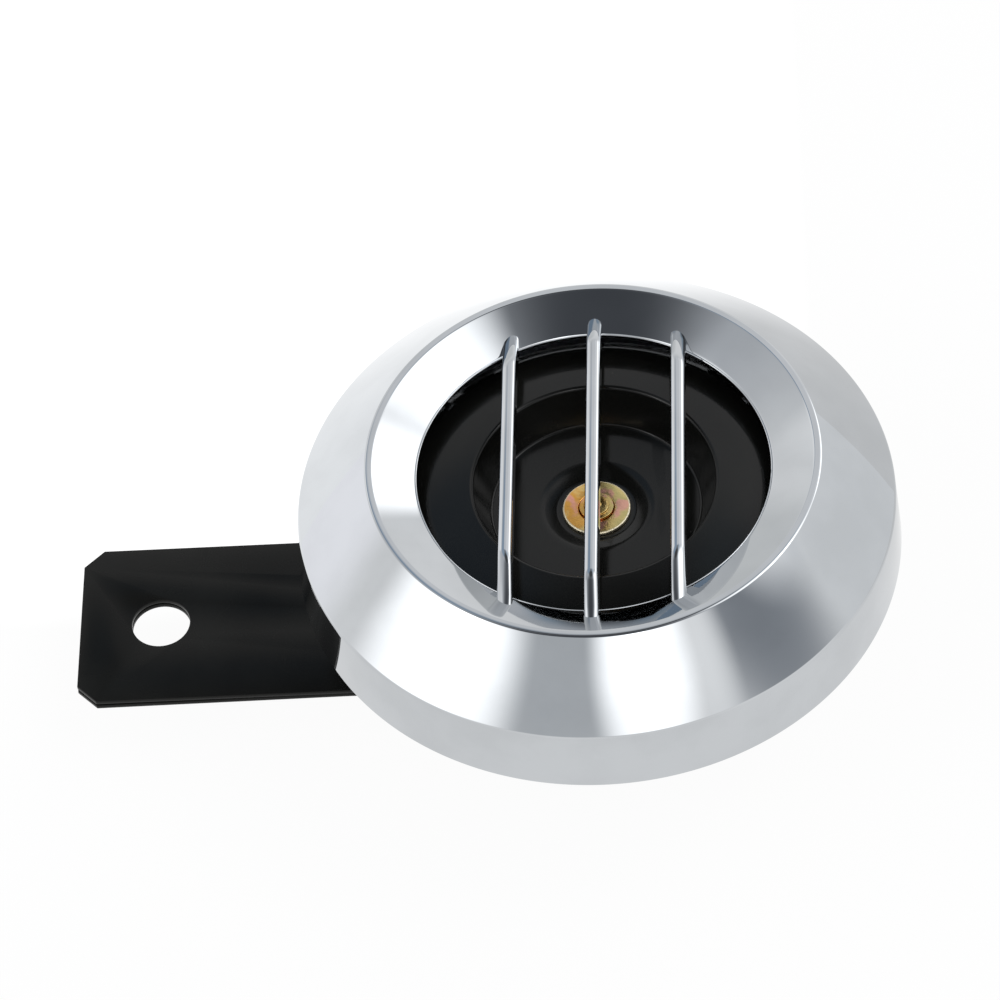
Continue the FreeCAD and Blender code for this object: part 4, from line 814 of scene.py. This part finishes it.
class DISCHORN_OT_bracket(Operator):
    """Build the two leaves of the mounting bracket"""

    bl_idname = "dischorn.bracket"
    bl_label = "Mounting bracket"

    def execute(self, context):
        sizes = context.scene.dischorn_bracket
        paint = paint_material("bracket_paint", context.scene.dischorn_finish, 520.0,
                               gloss=(0.22, 0.30), specular=0.13)
        for name in ("front_leaf", "rear_leaf"):
            self.leaf(f"bracket_{name}", name, sizes, paint)
        return {"FINISHED"}

    def leaf(self, node, name, sizes, paint):
        """A sheet with a round heel, chamfered free corners and two holes."""
        low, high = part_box(node)
        half = high.y
        upper = high.z
        thick = top("bracket_front_leaf") - bottom("bracket_front_leaf")
        end = low.x
        bm = bmesh.new()
        corners = (
            (end, half - sizes.corner), (end + sizes.corner, half), (half, half, half * 0.98),
            (half, -half, half * 0.98), (end + sizes.corner, -half), (end, -half + sizes.corner),
        )
        draw_section(bm, corners)
        self.hole(bm, end + sizes.hole_edge, sizes.hole_radius)
        self.hole(bm, 0.0, sizes.stud_hole_radius)
        bmesh.ops.rotate(bm, verts=bm.verts[:], cent=AXIS,
                         matrix=Matrix.Rotation(math.pi / 2, 3, "X"))
        bmesh.ops.translate(bm, verts=bm.verts[:], vec=(0.0, 0.0, upper))
        bmesh.ops.triangle_fill(bm, use_beauty=True, edges=bm.edges[:])
        bmesh.ops.dissolve_limit(bm, angle_limit=0.01, verts=bm.verts[:], edges=bm.edges[:])
        pulled = bmesh.ops.extrude_face_region(bm, geom=bm.faces[:])["geom"]
        moved = [item for item in pulled if isinstance(item, bmesh.types.BMVert)]
        bmesh.ops.translate(bm, verts=moved, vec=(0.0, 0.0, -thick))
        bmesh.ops.recalc_face_normals(bm, faces=bm.faces[:])
        bevel_edges(bm, hard_edges(bm, math.radians(60.0)), sizes.edge_round, 2)
        splay = (top(node) - bottom(node)) - thick
        if splay > LEAST_SPLAY:
            self.splay(bm, -sizes.splay_start, end, splay)
        finish_piece(name, bm, [paint], "horn", [node])

    def hole(self, bm, x, radius):
        """A circle in the XZ plane."""
        ring = bmesh.ops.create_circle(bm, cap_ends=False, segments=HOLE_STEPS,
                                       radius=radius)["verts"]
        bmesh.ops.rotate(bm, verts=ring, cent=AXIS, matrix=Matrix.Rotation(math.pi / 2, 3, "X"))
        bmesh.ops.translate(bm, verts=ring, vec=(x, 0.0, 0.0))

    def splay(self, bm, start, end, drop):
        """Bends the free end of the rear leaf slightly away from the front one."""
        bmesh.ops.bisect_plane(bm, geom=bm.verts[:] + bm.edges[:] + bm.faces[:], dist=1e-6,
                               plane_co=(start, 0.0, 0.0), plane_no=(1.0, 0.0, 0.0))
        for vert in bm.verts:
            if vert.co.x < start:
                vert.co.z -= drop * (start - vert.co.x) / (start - end)


class DISCHORN_OT_stage(Operator):
    """Set the floor, the studio light and the camera"""

    bl_idname = "dischorn.stage"
    bl_label = "Stage"

    def execute(self, context):
        stage = context.scene.dischorn_stage
        context.scene.view_settings.view_transform = "Standard"
        self.floor(stage)
        self.world(context)
        self.camera(context, stage)
        return {"FINISHED"}

    def floor(self, stage):
        """A pale floor that looks white to the camera and in the chrome, and keeps the shadow."""
        bm = bmesh.new()
        bmesh.ops.create_grid(bm, x_segments=2, y_segments=2, size=stage.floor_size / 2)
        mesh = bpy.data.meshes.new("floor")
        bm.to_mesh(mesh)
        bm.free()
        floor = bpy.data.objects.new("floor", mesh)
        floor.location.z = CAD_BOX[0].z - FLOOR_GAP
        bpy.context.scene.collection.objects.link(floor)
        material, tree, shader, place = new_material("floor_paper")
        mesh.materials.append(material)
        shader.inputs["Base Color"].default_value = (0.9, 0.9, 0.9, 1.0)
        shader.inputs["Roughness"].default_value = 1.0
        shader.inputs["Specular IOR Level"].default_value = 0.0
        seen = self.seen_rays(tree)
        glow = tree.nodes.new("ShaderNodeEmission")
        tree.links.new(self.floor_glow(tree, place), glow.inputs["Strength"])
        mix = tree.nodes.new("ShaderNodeMixShader")
        tree.links.new(combine(tree, "MULTIPLY", seen, stage.floor_glow), mix.inputs[0])
        tree.links.new(shader.outputs[0], mix.inputs[1])
        tree.links.new(glow.outputs[0], mix.inputs[2])
        tree.links.new(mix.outputs[0], tree.nodes["Material Output"].inputs["Surface"])

    @staticmethod
    def floor_glow(tree, place):
        """White to the camera; painted light makes the chrome see it brighter behind the horn,
        dimmer behind right.
        """
        parts = tree.nodes.new("ShaderNodeSeparateXYZ")
        tree.links.new(place, parts.inputs["Vector"])
        # Painted light for reflections: a glowing patch behind the horn, brighter on the left and
        # dimmer on the right.
        across = between(tree, parts.outputs["X"], -0.002, 0.06, 0.30, -0.13)
        behind = between(tree, parts.outputs["Y"], 0.0, 0.04)
        shown = combine(tree, "ADD", combine(tree, "MULTIPLY", across, behind), 0.97)
        camera_ray = tree.nodes.new("ShaderNodeLightPath").outputs["Is Camera Ray"]
        return combine(tree, "MAXIMUM", shown, camera_ray)

    @staticmethod
    def seen_rays(tree):
        """1 for what the camera, a mirror or glass sees, 0 for what lights the scene."""
        path = tree.nodes.new("ShaderNodeLightPath")
        seen = combine(tree, "MAXIMUM", path.outputs["Is Camera Ray"],
                       path.outputs["Is Glossy Ray"])
        return combine(tree, "MAXIMUM", seen, path.outputs["Is Transmission Ray"])

    def world(self, context):
        """A white room with soft lights, a dim gap on the right and a dark ceiling."""
        world = bpy.data.worlds.new("studio")
        context.scene.world = world
        world.use_nodes = True
        tree = world.node_tree
        place = tree.nodes.new("ShaderNodeTexCoord").outputs["Generated"]
        parts = tree.nodes.new("ShaderNodeSeparateXYZ")
        tree.links.new(place, parts.inputs["Vector"])
        shade = blend(tree, between(tree, parts.outputs["Z"], 0.30, 0.95), ROOM_LOW, ROOM_HIGH)
        for azimuth, elevation, outer, inner, tone in ROOM_LIGHTS:
            lobe = self.lobe(tree, place, azimuth, elevation, outer, inner)
            shade = blend(tree, lobe, shade, tone)
        background = tree.nodes["Background"]
        tree.links.new(shade, background.inputs["Color"])
        background.inputs["Strength"].default_value = 1.0

    @staticmethod
    def lobe(tree, place, azimuth, elevation, outer, inner):
        """1 within the inner angle of a direction, 0 beyond the outer one; angles in degrees."""
        node = tree.nodes.new("ShaderNodeVectorMath")
        node.operation = "DOT_PRODUCT"
        tree.links.new(place, node.inputs[0])
        node.inputs[1].default_value = direction(azimuth, elevation)
        return between(tree, node.outputs["Value"], math.cos(math.radians(outer)),
                       math.cos(math.radians(inner)))

    def camera(self, context, stage):
        """The photograph's viewpoint, from how the middle of the rim lies in the camera."""
        data = bpy.data.cameras.new("camera")
        data.lens = stage.lens
        data.sensor_width = 36.0
        data.clip_start = 0.01
        camera = bpy.data.objects.new("camera", data)
        tilt = math.pi / 2 - stage.elevation
        turn = (Matrix.Rotation(stage.azimuth, 3, "Z") @ Matrix.Rotation(tilt, 3, "X")
                @ Matrix.Rotation(stage.roll, 3, "Z"))
        rim = Vector((0.0, 0.0, top("trim_cover") - context.scene.dischorn_cover.bar_rise))
        place = rim - turn @ Vector((stage.aside, stage.above, -stage.distance))
        camera.matrix_world = Matrix.Translation(place) @ turn.to_4x4()
        context.scene.collection.objects.link(camera)
        context.scene.camera = camera


def direction(azimuth, elevation):
    """The unit vector towards an azimuth from +X and an elevation, in degrees."""
    flat = math.cos(math.radians(elevation))
    return (flat * math.cos(math.radians(azimuth)), flat * math.sin(math.radians(azimuth)),
            math.sin(math.radians(elevation)))


class DISCHORN_PT_panel(Panel):
    """Lists the pieces of the horn"""

    bl_idname = "DISCHORN_PT_panel"
    bl_label = "Disc Horn"
    bl_space_type = "VIEW_3D"
    bl_region_type = "UI"
    bl_category = "Disc Horn"

    def draw(self, context):
        for operator in OPERATORS:
            self.layout.operator(operator.bl_idname)
        for name, group in SETTINGS:
            box = self.layout.box()
            box.label(text=group.__doc__)
            for key in group.__annotations__:
                box.prop(getattr(context.scene, name), key)


SETTINGS = (
    ("dischorn_cover", DISCHORN_PG_cover),
    ("dischorn_grille", DISCHORN_PG_grille),
    ("dischorn_disc", DISCHORN_PG_disc),
    ("dischorn_bracket", DISCHORN_PG_bracket),
    ("dischorn_finish", DISCHORN_PG_finish),
    ("dischorn_stage", DISCHORN_PG_stage),
)
OPERATORS = (
    DISCHORN_OT_carried_nodes,
    DISCHORN_OT_trim_cover,
    DISCHORN_OT_tone_disc,
    DISCHORN_OT_stem_and_washer,
    DISCHORN_OT_bracket,
    DISCHORN_OT_stage,
)


def register():
    for name, group in SETTINGS:
        bpy.utils.register_class(group)
        setattr(bpy.types.Scene, name, PointerProperty(type=group))
    for operator in OPERATORS:
        bpy.utils.register_class(operator)
    bpy.utils.register_class(DISCHORN_PT_panel)


def unregister():
    bpy.utils.unregister_class(DISCHORN_PT_panel)
    for operator in reversed(OPERATORS):
        bpy.utils.unregister_class(operator)
    for name, group in reversed(SETTINGS):
        delattr(bpy.types.Scene, name)
        bpy.utils.unregister_class(group)


def main():
    register()
    bpy.ops.dischorn.carried_nodes()
    bpy.ops.dischorn.trim_cover()
    bpy.ops.dischorn.tone_disc()
    bpy.ops.dischorn.stem_and_washer()
    bpy.ops.dischorn.bracket()
    bpy.ops.dischorn.stage()


if __name__ == "__main__":
    main()
